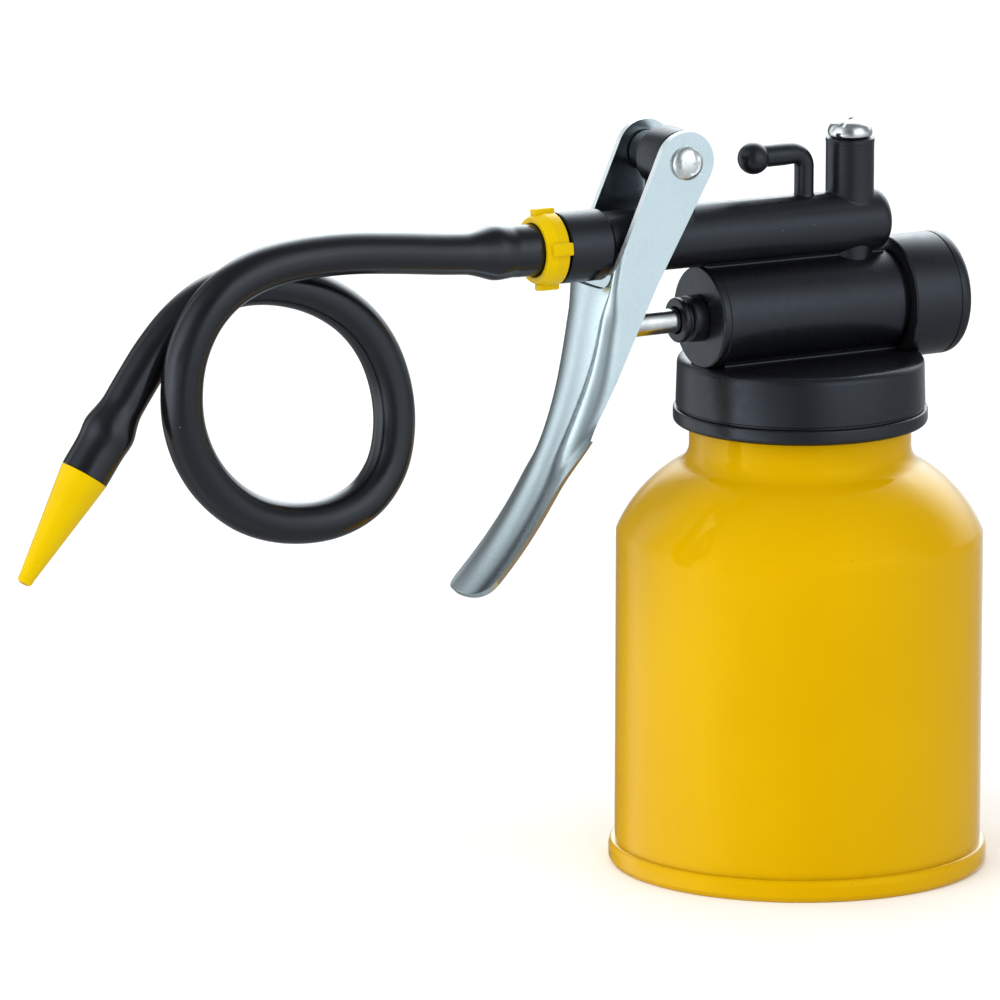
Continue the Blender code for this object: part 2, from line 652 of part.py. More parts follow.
def make_pivot_pin():
    inner = LEVER_HALF_WIDTH + GAP
    head = [(0, 1.9), (1.3, 1.8), (2.5, 1.3), (3.25, 0.6), (3.5, 0.0)]
    upper = [(r, inner + h) for r, h in head]
    lower = [(r, -inner - h) for r, h in head[::-1]]
    profile = upper + [(PIN_R, inner), (PIN_R, -inner)] + lower
    add_node(along_y(turned("pivot_pin", profile, steps=20), *PIVOT), STEEL)


# ---------------------------------------------------------------- collar, hose and nozzle

def make_collar():
    rear = -58.3
    front = -62.9
    profile = [(6.5, rear), (7.5, rear), (7.5, -60.9), (7.1, -61.9), (6.55, front), (5.75, front),
               (5.75, -61.8), (6.5, -61.8)]
    collar = along_barrel(turned("collar_nut", profile, closed=True, steps=28))
    lugs = []
    for index in range(4):
        lug = block(f"collar_lug_{index}", (6.9, -1.3, -62.3), (8.25, 1.3, -57.8))
        turn = Matrix.Rotation(index * math.pi / 2 - LUG_TURN, 4, "Z")
        lug.matrix_world = along_barrel(lug).matrix_world @ turn
        lugs.append(lug)
    combine(collar, lugs, "UNION")
    add_node(collar, YELLOW_PLASTIC)


def make_nipple():
    """The hose's connector: its flange is held between the barrel's nose and the collar nut."""
    profile = [(1.7, -54.0), (2.7, -54.0), (2.7, NOSE_END_X - GAP), (NOSE_R, NOSE_END_X - GAP),
               (NOSE_R, -61.5), (1.7, -61.5)]
    add_node(along_barrel(turned("spout_nipple", profile, closed=True, steps=20)), BRASS)


def smooth_route(points, spacing):
    """Points at an even spacing along a centripetal Catmull-Rom curve through the route's points."""
    points = [Vector(point) for point in points]
    ends = [2 * points[0] - points[1]] + points + [2 * points[-1] - points[-2]]
    dense = []
    for a, b, c, d in zip(ends, ends[1:], ends[2:], ends[3:]):
        for step in range(24):
            t = step / 24
            dense.append(0.5 * (2 * b + (c - a) * t + (2 * a - 5 * b + 4 * c - d) * t ** 2
                                + (3 * b - a - 3 * c + d) * t ** 3))
    dense.append(points[-1])
    travelled = [0.0]
    for first, second in zip(dense, dense[1:]):
        travelled.append(travelled[-1] + (second - first).length)
    count = max(2, round(travelled[-1] / spacing))
    even = []
    index = 0
    for step in range(count + 1):
        goal = travelled[-1] * step / count
        while index < len(travelled) - 2 and travelled[index + 1] < goal:
            index += 1
        share = (goal - travelled[index]) / (travelled[index + 1] - travelled[index])
        even.append(dense[index].lerp(dense[index + 1], share))
    return even, travelled[-1]


def hose_radius(distance, length):
    """The hose's outer radius, swollen where it is pushed over a barb at either end."""
    from_end = length - distance
    collar_swell = 1.15 * (1 - blend(distance, 9.0, 15.5))
    nozzle_swell = 1.1 * (1 - blend(from_end, 11.0, 19.0)) - 0.45 * (1 - blend(from_end, 0.0, 8.0))
    return HOSE_R + max(0.0, collar_swell) + max(0.0, nozzle_swell)


def make_hose():
    points, length = smooth_route(HOSE_ROUTE, 6.0)
    radii = [hose_radius(length * index / (len(points) - 1), length) for index in range(len(points))]
    hose = wire("delivery_hose", [tuple(point) for point in points], HOSE_R, radii=radii)
    add_node(hose, BLACK_VINYL)


def make_nozzle():
    profile = [(0.8, 0), (NOZZLE_BASE_R, 0), (NOZZLE_BASE_R - 0.05, -0.6),
               (NOZZLE_TIP_R + 0.25, -NOZZLE_LENGTH + 1.6), (NOZZLE_TIP_R, -NOZZLE_LENGTH + 0.7),
               (NOZZLE_TIP_R - 0.25, -NOZZLE_LENGTH + 0.15), (0.8, -NOZZLE_LENGTH)]
    nozzle = turned("nozzle_tip", profile, closed=True, steps=20)
    end = Vector(HOSE_ROUTE[-1])
    heading = Vector(NOZZLE_HEADING).normalized()
    turn = heading.to_track_quat("-Z", "Y").to_matrix().to_4x4()
    nozzle.matrix_world = Matrix.Translation((end + heading * GAP) * MM) @ turn
    add_node(nozzle, YELLOW_PLASTIC)


make_can_shell()
make_can_base()
make_neck_gasket()
make_pump_body()
make_rear_cap()
make_rod_gland()
make_suction_side()
make_outlet_side()
make_piston()
make_lever()
make_pivot_pin()
make_collar()
make_nipple()
make_hose()
make_nozzle()
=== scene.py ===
import json
import math

import bmesh
import bpy
from mathutils import Matrix, Vector, noise
from mathutils.bvhtree import BVHTree

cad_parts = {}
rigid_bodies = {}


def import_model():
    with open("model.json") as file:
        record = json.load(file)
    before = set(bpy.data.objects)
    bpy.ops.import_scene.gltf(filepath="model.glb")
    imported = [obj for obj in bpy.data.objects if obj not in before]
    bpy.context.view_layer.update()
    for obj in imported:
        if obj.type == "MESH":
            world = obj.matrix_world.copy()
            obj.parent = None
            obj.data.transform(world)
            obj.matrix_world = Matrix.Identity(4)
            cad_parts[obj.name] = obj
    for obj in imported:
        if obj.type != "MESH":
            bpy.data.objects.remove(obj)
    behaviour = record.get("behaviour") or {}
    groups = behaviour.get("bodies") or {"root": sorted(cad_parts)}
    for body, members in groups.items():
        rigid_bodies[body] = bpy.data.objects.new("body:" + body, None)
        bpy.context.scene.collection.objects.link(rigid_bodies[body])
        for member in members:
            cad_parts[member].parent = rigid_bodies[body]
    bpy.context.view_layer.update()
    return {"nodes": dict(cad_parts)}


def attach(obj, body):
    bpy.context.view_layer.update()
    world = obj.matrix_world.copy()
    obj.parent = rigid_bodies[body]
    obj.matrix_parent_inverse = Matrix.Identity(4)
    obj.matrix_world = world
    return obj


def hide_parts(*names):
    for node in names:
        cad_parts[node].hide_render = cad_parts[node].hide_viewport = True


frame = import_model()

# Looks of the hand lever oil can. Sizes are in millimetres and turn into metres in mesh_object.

MM = 0.001
WELD_DISTANCE = 0.000002
LINKED = bpy.context.scene.collection.objects

# ---- camera

VIEW_AZIMUTH = math.radians(-29.5)
VIEW_ELEVATION = 0.2150
VIEW_TARGET = Vector((-53.18, 30.09, 74.95)) * MM
VIEW_DISTANCE = 2.6
VIEW_ROLL = 0.0024
LENS = 459.0


def view_basis():
    """Right, up and back of the camera, level."""
    flat = math.cos(VIEW_ELEVATION)
    back = Vector((math.sin(VIEW_AZIMUTH) * flat, -math.cos(VIEW_AZIMUTH) * flat,
                   math.sin(VIEW_ELEVATION)))
    right = Vector((0, 0, 1)).cross(back).normalized()
    return right, back.cross(right), back


def level_axes():
    """Level directions to the camera's right and towards it."""
    right, _, back = view_basis()
    return right, Vector((back.x, back.y, 0)).normalized()


def make_camera():
    right, up, back = view_basis()
    data = bpy.data.cameras.new("camera")
    data.sensor_width = 36.0
    data.lens = LENS
    data.clip_start = 0.05
    data.clip_end = 100.0
    camera = bpy.data.objects.new("camera", data)
    basis = Matrix((right, up, back)).transposed().to_4x4()
    place = Matrix.Translation(VIEW_TARGET + back * VIEW_DISTANCE)
    camera.matrix_world = place @ basis @ Matrix.Rotation(VIEW_ROLL, 4, "Z")
    LINKED.link(camera)
    bpy.context.scene.camera = camera


# ---- mesh helpers

def mesh_object(name, build):
    """An object whose mesh is built in millimetres by build(bmesh)."""
    made = bmesh.new()
    build(made)
    bmesh.ops.scale(made, vec=(MM, MM, MM), verts=made.verts)
    mesh = bpy.data.meshes.new(name)
    made.to_mesh(mesh)
    made.free()
    obj = bpy.data.objects.new(name, mesh)
    LINKED.link(obj)
    return obj


def arc(centre, radius, start, end, steps):
    angles = [math.radians(start + (end - start) * step / steps) for step in range(steps + 1)]
    return [(centre[0] + radius * math.cos(a), centre[1] + radius * math.sin(a)) for a in angles]


def rounded(corners, closed=False, steps=5):
    """The polyline, with each corner that has a third number rounded to that radius."""
    points = []
    count = len(corners)
    for index, corner in enumerate(corners):
        here = Vector(corner[:2])
        at_end = not closed and index in (0, count - 1)
        if len(corner) < 3 or at_end:
            points.append(here)
            continue
        first = (Vector(corners[index - 1][:2]) - here).normalized()
        second = (Vector(corners[(index + 1) % count][:2]) - here).normalized()
        half = first.angle(second) / 2
        reach = corner[2] / math.tan(half)
        centre = here + (first + second).normalized() * (corner[2] / math.sin(half))
        u = here + first * reach - centre
        v = here + second * reach - centre
        sweep = u.angle(v)
        for step in range(steps + 1):
            t = step / steps
            between = u * math.sin((1 - t) * sweep) + v * math.sin(t * sweep)
            points.append(centre + between / math.sin(sweep))
    return [(p.x, p.y) for p in points]


def around(steps):
    """The angles of an even ring."""
    return [2 * math.pi * step / steps for step in range(steps)]


def circle(made, r, h, steps, x=0.0):
    """A level ring of points round (x, 0) at height h."""
    return [made.verts.new((x + r * math.cos(a), r * math.sin(a), h)) for a in around(steps)]


def stitch(made, rings, steps):
    """Faces from each ring to the next. A ring of one point is a tip."""
    for upper, lower in zip(rings, rings[1:]):
        for k in range(steps):
            n = (k + 1) % steps
            corners = [upper[k % len(upper)], lower[k % len(lower)],
                       lower[n % len(lower)], upper[n % len(upper)]]
            distinct = list(dict.fromkeys(corners))
            if len(distinct) > 2:
                made.faces.new(distinct)


def turned(name, profile, closed=False, steps=96):
    """A turned piece about local Z from (radius, height) points that run down its outer side."""
    def build(made):
        rings = []
        for r, h in profile:
            rings.append([made.verts.new((0, 0, h))] if r < 1e-6 else circle(made, r, h, steps))
        stitch(made, rings + rings[:1] if closed else rings, steps)

    return mesh_object(name, build)


def rod(name, radius, low, high, steps=48):
    return turned(name, [(0, high), (radius, high), (radius, low), (0, low)], steps=steps)


def block(name, low, high, edge=0.0):
    """A box between two corners, with its edges rounded where asked."""
    def build(made):
        size = [b - a for a, b in zip(low, high)]
        middle = [(a + b) / 2 for a, b in zip(low, high)]
        bmesh.ops.create_cube(made, size=1.0)
        bmesh.ops.transform(made, matrix=Matrix.Diagonal((*size, 1)), verts=made.verts)
        bmesh.ops.translate(made, vec=middle, verts=made.verts)
        if edge:
            bmesh.ops.bevel(made, geom=list(made.edges), offset=edge, segments=4, profile=0.5,
                            affect="EDGES")

    return mesh_object(name, build)


def prism(name, points, low, high, axis="Y"):
    """A closed outline pulled along Y (points are x, z) or along X (points are y, z)."""
    def build(made):
        along_y_axis = axis == "Y"
        verts = [made.verts.new((u, low, v) if along_y_axis else (low, u, v)) for u, v in points]
        face = made.faces.new(verts)
        grown = bmesh.ops.extrude_face_region(made, geom=[face])
        moved = [item for item in grown["geom"] if isinstance(item, bmesh.types.BMVert)]
        shift = (0, high - low, 0) if along_y_axis else (high - low, 0, 0)
        bmesh.ops.translate(made, vec=shift, verts=moved)
        bmesh.ops.recalc_face_normals(made, faces=made.faces)

    return mesh_object(name, build)


def placed(obj, matrix):
    """Moves the mesh itself; the matrix is in millimetres."""
    scaled = matrix.copy()
    scaled.translation = matrix.translation * MM
    obj.data.transform(scaled)
    return obj


def at(obj, x=0.0, z=0.0):
    return placed(obj, Matrix.Translation((x, 0, z)))


def along_x(obj, z):
    return placed(obj, Matrix.Translation((0, 0, z)) @ Matrix.Rotation(math.pi / 2, 4, "Y"))


def along_y(obj, x, z):
    """Own +Z points to -Y, through (x, z)."""
    return placed(obj, Matrix.Translation((x, 0, z)) @ Matrix.Rotation(math.pi / 2, 4, "X"))


def along_barrel(obj, turn=0.0):
    place = Matrix.Translation((0, 0, BARREL_Z)) @ Matrix.Rotation(math.pi / 2 + BARREL_RISE, 4, "Y")
    return placed(obj, place @ Matrix.Rotation(turn, 4, "Z"))


def settle(obj):
    """Replaces the object's mesh by what its modifiers make of it."""
    bpy.context.view_layer.update()
    graph = bpy.context.evaluated_depsgraph_get()
    mesh = bpy.data.meshes.new_from_object(obj.evaluated_get(graph))
    obj.modifiers.clear()
    old = obj.data
    obj.data = mesh
    bpy.data.meshes.remove(old)
    return obj


def boolean(obj, others, operation):
    """One exact Boolean of the object with all the others, which are then removed."""
    group = bpy.data.collections.new(obj.name + "_operands")
    for other in others:
        group.objects.link(other)
    modifier = obj.modifiers.new("boolean", "BOOLEAN")
    modifier.operation = operation
    modifier.operand_type = "COLLECTION"
    modifier.collection = group
    modifier.solver = "EXACT"
    settle(obj)
    for other in others:
        bpy.data.objects.remove(other, do_unlink=True)
    bpy.data.collections.remove(group)
    tidy(obj)
    return obj


def tidy(obj):
    """Welds what a Boolean leaves split and removes faces with no area."""
    made = bmesh.new()
    made.from_mesh(obj.data)
    bmesh.ops.remove_doubles(made, verts=made.verts, dist=WELD_DISTANCE)
    bmesh.ops.dissolve_degenerate(made, edges=made.edges, dist=WELD_DISTANCE)
    made.to_mesh(obj.data)
    made.free()


def soften(obj, width, angle):
    """Rounds the edges that are sharper than the angle."""
    modifier = obj.modifiers.new("edges", "BEVEL")
    modifier.width = width * MM
    modifier.segments = 2
    modifier.limit_method = "ANGLE"
    modifier.angle_limit = math.radians(angle)
    modifier.miter_outer = "MITER_ARC"
    settle(obj)
    return obj


def shaded(obj, angle=32.0):
    obj.data.shade_smooth()
    obj.data.set_sharp_from_angle(angle=math.radians(angle))
    return obj


def tube(name, points, radii, sides=40, start=(), end=()):
    """A closed tube along the points. start and end: (distance along, radius) rings of its end faces."""
    def build(made):
        spots = [Vector(p) for p in points]
        tangents = [(b - a).normalized() for a, b in zip(spots, spots[1:])]
        between = [(a + b).normalized() for a, b in zip(tangents, tangents[1:])]
        tangents = [tangents[0], *between, tangents[-1]]
        side = tangents[0].orthogonal().normalized()
        rings = []

        def ring(centre, tangent, radius):
            other = tangent.cross(side)
            rings.append([made.verts.new(centre + (side * math.cos(a) + other * math.sin(a)) * radius)
                          for a in around(sides)])

        for along, radius in start:
            ring(spots[0] + tangents[0] * along, tangents[0], radius)
        for index, (spot, tangent) in enumerate(zip(spots, tangents)):
            if index:
                side = (tangents[index - 1].rotation_difference(tangent) @ side)
                side = (side - tangent * side.dot(tangent)).normalized()
            ring(spot, tangent, radii[index])
        for along, radius in end:
            ring(spots[-1] + tangents[-1] * along, tangents[-1], radius)
        for first, second in zip(rings, rings[1:]):
            for k in range(sides):
                made.faces.new((first[k], first[(k + 1) % sides], second[(k + 1) % sides], second[k]))
        made.faces.new(rings[0][::-1])
        made.faces.new(rings[-1])

    return mesh_object(name, build)


def smooth_route(points, spacing):
    """Points at an even spacing along a Catmull-Rom curve through the route's points, and its length."""
    points = [Vector(point) for point in points]
    ends = [2 * points[0] - points[1]] + points + [2 * points[-1] - points[-2]]
    dense = []
    for a, b, c, d in zip(ends, ends[1:], ends[2:], ends[3:]):
        for step in range(24):
            t = step / 24
            dense.append(0.5 * (2 * b + (c - a) * t + (2 * a - 5 * b + 4 * c - d) * t ** 2
                                + (3 * b - a - 3 * c + d) * t ** 3))
    dense.append(points[-1])
    travelled = [0.0]
    for first, second in zip(dense, dense[1:]):
        travelled.append(travelled[-1] + (second - first).length)
    count = max(2, round(travelled[-1] / spacing))
    even = []
    index = 0
    for step in range(count + 1):
        goal = travelled[-1] * step / count
        while index < len(travelled) - 2 and travelled[index + 1] < goal:
            index += 1
        share = (goal - travelled[index]) / (travelled[index + 1] - travelled[index])
        even.append(dense[index].lerp(dense[index + 1], share))
    return even, travelled[-1]


def blend(value, low, high):
    t = min(1.0, max(0.0, (value - low) / (high - low)))
    return t * t * (3 - 2 * t)


# ---- material helpers

class Finish:
    """One procedural material. Fixed values are set on the shader's own sockets."""

    def __init__(self, name, **fixed):
        self.material = bpy.data.materials.new(name)
        self.material.use_nodes = True
        self.tree = self.material.node_tree
        self.shader = self.tree.nodes["Principled BSDF"]
        for socket, value in fixed.items():
            self.shader.inputs[socket.replace("_", " ")].default_value = value
        self.place = self.node("TexCoord").outputs["Object"]

    def node(self, kind):
        return self.tree.nodes.new("ShaderNode" + kind)

    def link(self, source, target):
        self.tree.links.new(source, target)

    def fill(self, socket, value):
        if isinstance(value, bpy.types.NodeSocket):
            self.link(value, socket)
        else:
            socket.default_value = value

    def stretched(self, x, y, z):
        """The place with each axis scaled."""
        node = self.node("Mapping")
        node.inputs["Scale"].default_value = (x, y, z)
        self.link(self.place, node.inputs["Vector"])
        return node.outputs["Vector"]

    def noise(self, size, detail=3.0, roughness=0.5, place=None):
        """Noise with blotches of about this size in millimetres."""
        node = self.node("TexNoise")
        node.inputs["Scale"].default_value = 1 / (size * MM)
        node.inputs["Detail"].default_value = detail
        node.inputs["Roughness"].default_value = roughness
        self.link(place or self.place, node.inputs["Vector"])
        return node.outputs["Fac"]

    def specks(self, cell, radius, share):
        """Dots of this radius, in this share of the cells."""
        node = self.node("TexVoronoi")
        node.inputs["Scale"].default_value = 1 / (cell * MM)
        self.link(self.place, node.inputs["Vector"])
        dots = self.span(node.outputs["Distance"], radius / cell, 0.5 * radius / cell, 0.0, 1.0)
        apart = self.node("SeparateColor")
        self.link(node.outputs["Color"], apart.inputs["Color"])
        chosen = self.span(apart.outputs["Red"], 1 - share, 1 - share + 0.01, 0.0, 1.0)
        return self.times(dots, chosen)

    def span(self, value, low, high, out_low, out_high):
        node = self.node("MapRange")
        self.link(value, node.inputs["Value"])
        limits = {"From Min": low, "From Max": high, "To Min": out_low, "To Max": out_high}
        for name, number in limits.items():
            node.inputs[name].default_value = number
        return node.outputs["Result"]

    def times(self, first, second):
        return self.maths("MULTIPLY", first, second)

    def maths(self, operation, first, second):
        node = self.node("Math")
        node.operation = operation
        self.fill(node.inputs[0], first)
        self.fill(node.inputs[1], second)
        return node.outputs["Value"]

    def mix(self, share, first, second):
        node = self.node("Mix")
        node.data_type = "RGBA"
        self.fill(node.inputs["Factor"], share)
        colours = [s for s in node.inputs if s.type == "RGBA"]
        for socket, value in zip(colours, (first, second)):
            self.fill(socket, value if isinstance(value, bpy.types.NodeSocket) else (*value, 1.0))
        return next(s for s in node.outputs if s.type == "RGBA")

    def axis(self, letter):
        node = self.node("SeparateXYZ")
        self.link(self.place, node.inputs["Vector"])
        return node.outputs[letter]

    def attribute(self, name):
        node = self.node("Attribute")
        node.attribute_name = name
        return node.outputs["Fac"]

    def edges(self, low, high):
        """1 on raised edges, 0 elsewhere; with low above high, 1 in corners."""
        node = self.node("NewGeometry")
        return self.span(node.outputs["Pointiness"], low, high, 0.0, 1.0)

    def bump(self, height, depth, under=None):
        node = self.node("Bump")
        node.inputs["Distance"].default_value = depth * MM
        self.link(height, node.inputs["Height"])
        if under is not None:
            self.link(under, node.inputs["Normal"])
        return node.outputs["Normal"]

    def grained(self, colour, roughness, *grains):
        """Finished with layers of bumps, each as (size, detail, depth)."""
        normal = None
        for size, detail, depth in grains:
            normal = self.bump(self.noise(size, detail=detail), depth, under=normal)
        return self.finish(colour, roughness, normal)

    def patchy(self, low, high, size, detail=5.0, roughness=0.5):
        """A value between the two that changes in blotches of this size."""
        return self.span(self.noise(size, detail=detail, roughness=roughness), 0.3, 0.7, low, high)

    def finish(self, colour, roughness, normal):
        for socket, value in (("Base Color", colour), ("Roughness", roughness), ("Normal", normal)):
            self.link(value, self.shader.inputs[socket])
        return self.material


SHEARED = "sheared_edge"
FRONT_EDGE = -1.0
REAR_EDGE = 1.0


def enamel():
    """Glossy yellow stoving enamel on drawn steel: orange peel, faint waviness, darker in patches along
    the crease above the seam.
    """
    f = Finish("can_enamel", Specular_IOR_Level=0.32, Specular_Tint=(1.0, 0.86, 0.06, 1.0))
    broad = f.noise(38.0, detail=2.0)
    colour = f.mix(f.span(broad, 0.35, 0.65, 0.0, 1.0), (0.595, 0.338, 0.0004), (0.62, 0.358, 0.0006))
    colour = f.mix(f.specks(7.0, 0.22, 0.35), colour, (0.46, 0.25, 0.01))
    # darker in patches in a band along the crease just above the base seam
    height = f.axis("Z")
    low = f.span(height, 0.0046, 0.0058, 1.0, 0.0)
    above = f.span(height, 0.0040, 0.0046, 0.0, 1.0)
    crease = f.times(f.times(low, above), f.noise(2.5, detail=4.0))
    colour = f.mix(f.times(crease, 0.5), colour, (0.34, 0.19, 0.002))
    roughness = f.patchy(0.05, 0.11, 6.0, roughness=0.6)
    return f.grained(colour, roughness, (30.0, 1.0, 0.10), (1.3, 2.0, 0.012))


def head_plastic():
    """Satin black moulded plastic: fine spark-eroded grain, greyer on its edges."""
    f = Finish("head_plastic", Specular_IOR_Level=0.5, Specular_Tint=(0.80, 0.87, 1.0, 1.0))
    colour = f.mix(f.noise(9.0, detail=4.0), (0.0035, 0.0036, 0.0048), (0.0062, 0.0064, 0.0082))
    colour = f.mix(f.times(f.edges(0.53, 0.62), 0.35), colour, (0.035, 0.036, 0.040))
    colour = f.mix(f.specks(6.5, 0.16, 0.30), colour, (0.10, 0.10, 0.10))
    roughness = f.patchy(0.25, 0.36, 2.2, detail=6.0, roughness=0.65)
    return f.grained(colour, roughness, (11.0, 1.0, 0.05), (0.32, 3.0, 0.005))


def hose_vinyl():
    """Smooth black extruded vinyl with a few specks of dust."""
    f = Finish("hose_vinyl", Specular_IOR_Level=0.5, Specular_Tint=(0.86, 0.90, 1.0, 1.0))
    colour = f.mix(f.noise(12.0, detail=3.0), (0.0032, 0.0032, 0.0042), (0.0056, 0.0056, 0.0070))
    colour = f.mix(f.specks(5.5, 0.17, 0.28), colour, (0.22, 0.21, 0.20))
    roughness = f.patchy(0.15, 0.23, 4.0, roughness=0.6)
    return f.grained(colour, roughness, (7.0, 2.0, 0.04), (0.5, 2.0, 0.003))


def collar_plastic():
    """Bright yellow moulded plastic, with painted shade that darkens it in its corners."""
    f = Finish("collar_plastic", Specular_IOR_Level=0.35, Specular_Tint=(1.0, 0.90, 0.08, 1.0))
    colour = f.mix(f.noise(5.0, detail=4.0), (0.60, 0.395, 0.0006), (0.66, 0.45, 0.0010))
    # painted shade: a darker yellow in the hollow corners
    colour = f.mix(f.times(f.edges(0.48, 0.40), 0.5), colour, (0.52, 0.29, 0.001))
    colour = f.mix(f.specks(4.0, 0.10, 0.25), colour, (0.40, 0.25, 0.02))
    roughness = f.patchy(0.27, 0.40, 1.8)
    return f.grained(colour, roughness, (6.0, 1.0, 0.05), (0.35, 3.0, 0.008))


def lever_zinc():
    """Bluish zinc plating on rolled sheet: grain, draw lines, a painted highlight on the ears' front
    edges and dull sheared rear edges.
    """
    f = Finish("lever_zinc", Metallic=1.0)
    lines = f.noise(0.55, detail=4.0, roughness=0.6, place=f.stretched(1.0, 1.0, 0.05))
    grain = f.noise(0.6, detail=4.0, roughness=0.7)
    mottle = f.noise(7.0, detail=3.0, roughness=0.5)
    edge = f.attribute(SHEARED)
    # painted highlight: the ears' front edges are coloured near white
    painted_edge_highlight = f.maths("MAXIMUM", f.times(edge, FRONT_EDGE), 0.0)
    cut = f.maths("MAXIMUM", edge, 0.0)
    colour = f.mix(mottle, (0.59, 0.69, 0.735), (0.68, 0.765, 0.80))
    grains = f.times(f.span(grain, 0.50, 0.68, 0.0, 1.0), 0.26)
    colour = f.mix(grains, colour, (0.46, 0.54, 0.60))
    colour = f.mix(f.times(cut, 0.9), colour, (0.36, 0.335, 0.33))
    colour = f.mix(painted_edge_highlight, colour, (0.93, 0.96, 0.97))
    roughness = f.span(f.maths("ADD", f.times(grain, 0.6), f.times(lines, 0.4)),
                       0.35, 0.65, 0.17, 0.25)
    roughness = f.maths("ADD", roughness, f.times(f.maths("ADD", cut, painted_edge_highlight), 0.35))
    normal = f.bump(mottle, 0.014)
    normal = f.bump(lines, 0.0020, under=normal)
    normal = f.bump(grain, 0.0012, under=normal)
    return f.finish(colour, roughness, normal)


def metal(name, dark, light, low, high, lines, depth=0.003):
    """Bare or plated metal with fine tool lines. lines scales the place, which draws them out."""
    f = Finish(name, Metallic=1.0)
    tooling = f.noise(0.25, detail=3.0, place=f.stretched(*lines))
    stains = f.noise(3.5, detail=5.0, roughness=0.65)
    colour = f.mix(f.span(stains, 0.35, 0.7, 0.0, 1.0), light, dark)
    both = f.maths("ADD", f.times(stains, 0.5), f.times(tooling, 0.5))
    roughness = f.span(both, 0.35, 0.65, low, high)
    return f.finish(colour, roughness, f.bump(tooling, depth))


def plain(name, dark, light, low, high, grain, depth):
    """Rubber or plastic with a fine grain."""
    f = Finish(name)
    colour = f.mix(f.noise(4.0, detail=5.0), dark, light)
    return f.grained(colour, f.patchy(low, high, 1.5, detail=4.0), (grain, 3.0, depth))


ENAMEL = enamel()
HEAD = head_plastic()
VINYL = hose_vinyl()
YELLOW = collar_plastic()
ZINC = lever_zinc()
STEEL = metal("bare_steel", (0.48, 0.48, 0.47), (0.66, 0.66, 0.66), 0.14, 0.26, (1.0, 0.1, 0.1))
RIVET = metal("rivet_steel", (0.74, 0.75, 0.76), (0.88, 0.89, 0.90), 0.22, 0.34, (1.0, 1.0, 1.0), 0.006)
CHROME = metal("screw_chrome", (0.62, 0.63, 0.65), (0.74, 0.75, 0.76), 0.05, 0.12, (1.0, 1.0, 1.0), 0.002)
BRASS = metal("turned_brass", (0.55, 0.36, 0.13), (0.76, 0.56, 0.26), 0.22, 0.36, (1.0, 0.1, 0.1))
RUBBER = plain("seal_rubber", (0.012, 0.012, 0.012), (0.028, 0.027, 0.026), 0.62, 0.80, 0.4, 0.01)
INNER = plain("inner_plastic", (0.62, 0.62, 0.58), (0.74, 0.74, 0.71), 0.36, 0.50, 0.6, 0.006)


def piece(obj, body, slot, material, *nodes):
    """Finishes a new piece: its material, the body it rides on and the CAD nodes it stands for."""
    obj.data.materials.clear()
    obj.data.materials.append(material)
    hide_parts(*nodes)
    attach(obj, body)
    return obj


# ---- hose and nozzle

HOSE_R = 4.25
COLLAR_SWELL = 1.0
NOZZLE_SWELL = 0.75
RIDGE_WIDTH = 2.2
WAIST_WIDTH = 0.45
HOSE_ROUTE = [
    (-61.8, 0.0, 133.05), (-71, 0, 133.3), (-82, 0, 134.1), (-94, -0.4, 135.5), (-106, -0.9, 136.6),
    (-117, -1.3, 136.5), (-126, -1.5, 135.1), (-133.2, -1.5, 131.9), (-138.4, -1.2, 126.8),
    (-141.6, -0.7, 120.1), (-142.5, 0.2, 112.5), (-141.4, 1.2, 104.4), (-138.0, 2.2, 96.6),
    (-132.5, 3.2, 89.9), (-125.0, 4.2, 84.6), (-115.8, 5.1, 81.7), (-106.0, 5.9, 81.4),
    (-97.8, 6.6, 84.2), (-92.4, 7.2, 90.1), (-90.3, 7.7, 98.0), (-90.9, 8.1, 106.6),
    (-94.0, 8.4, 114.8), (-99.5, 8.6, 121.6), (-107.1, 8.7, 126.6), (-115.8, 8.7, 129.5),
    (-124.5, 8.7, 130.2), (-131.8, 8.7, 128.5), (-138.3, 8.6, 124.5), (-143.9, 8.6, 118.8),
    (-148.5, 8.5, 112.7), (-152.5, 8.5, 106.8), (-156.0, 8.5, 101.3), (-160.0, 8.5, 95.5),
]
NOZZLE_LENGTH = 24.8
NOZZLE_HEADING = Vector((-0.553, 0.0, -0.833)).normalized()


def ridge(distance, peak, height, width):
    """The height of a rounded ridge across the hose."""
    return height * math.exp(-((distance - peak) / width) ** 2)


def hose_radius(distance, length):
    """Swollen over a barb at either end, with a faint waist near the collar."""
    from_end = length - distance
    collar_swell = COLLAR_SWELL * (1 - blend(distance, 10.0, 17.0))
    collar_swell += ridge(distance, 9.8, 0.32, RIDGE_WIDTH)
    collar_swell -= ridge(distance, 6.2, 0.12, WAIST_WIDTH)
    nozzle_swell = NOZZLE_SWELL * (1 - blend(from_end, 10.5, 16.0))
    nozzle_swell += ridge(from_end, 9.6, 0.36, RIDGE_WIDTH)
    return HOSE_R + max(0.0, collar_swell) + max(0.0, nozzle_swell)


def make_hose():
    points, length = smooth_route(HOSE_ROUTE, 0.8)
    count = len(points) - 1
    radii = [hose_radius(length * index / count, length) for index in range(len(points))]
    end = radii[-1]
    hose = tube("hose", points, radii, sides=48, start=[(0.0, 3.0), (0.0, radii[0] - 0.3)],
                end=[(0.0, end - 0.12), (0.0, 3.0)])
    piece(shaded(hose, 50), "spout", "hose_vinyl", VINYL, "delivery_hose")
    nozzle = make_nozzle()


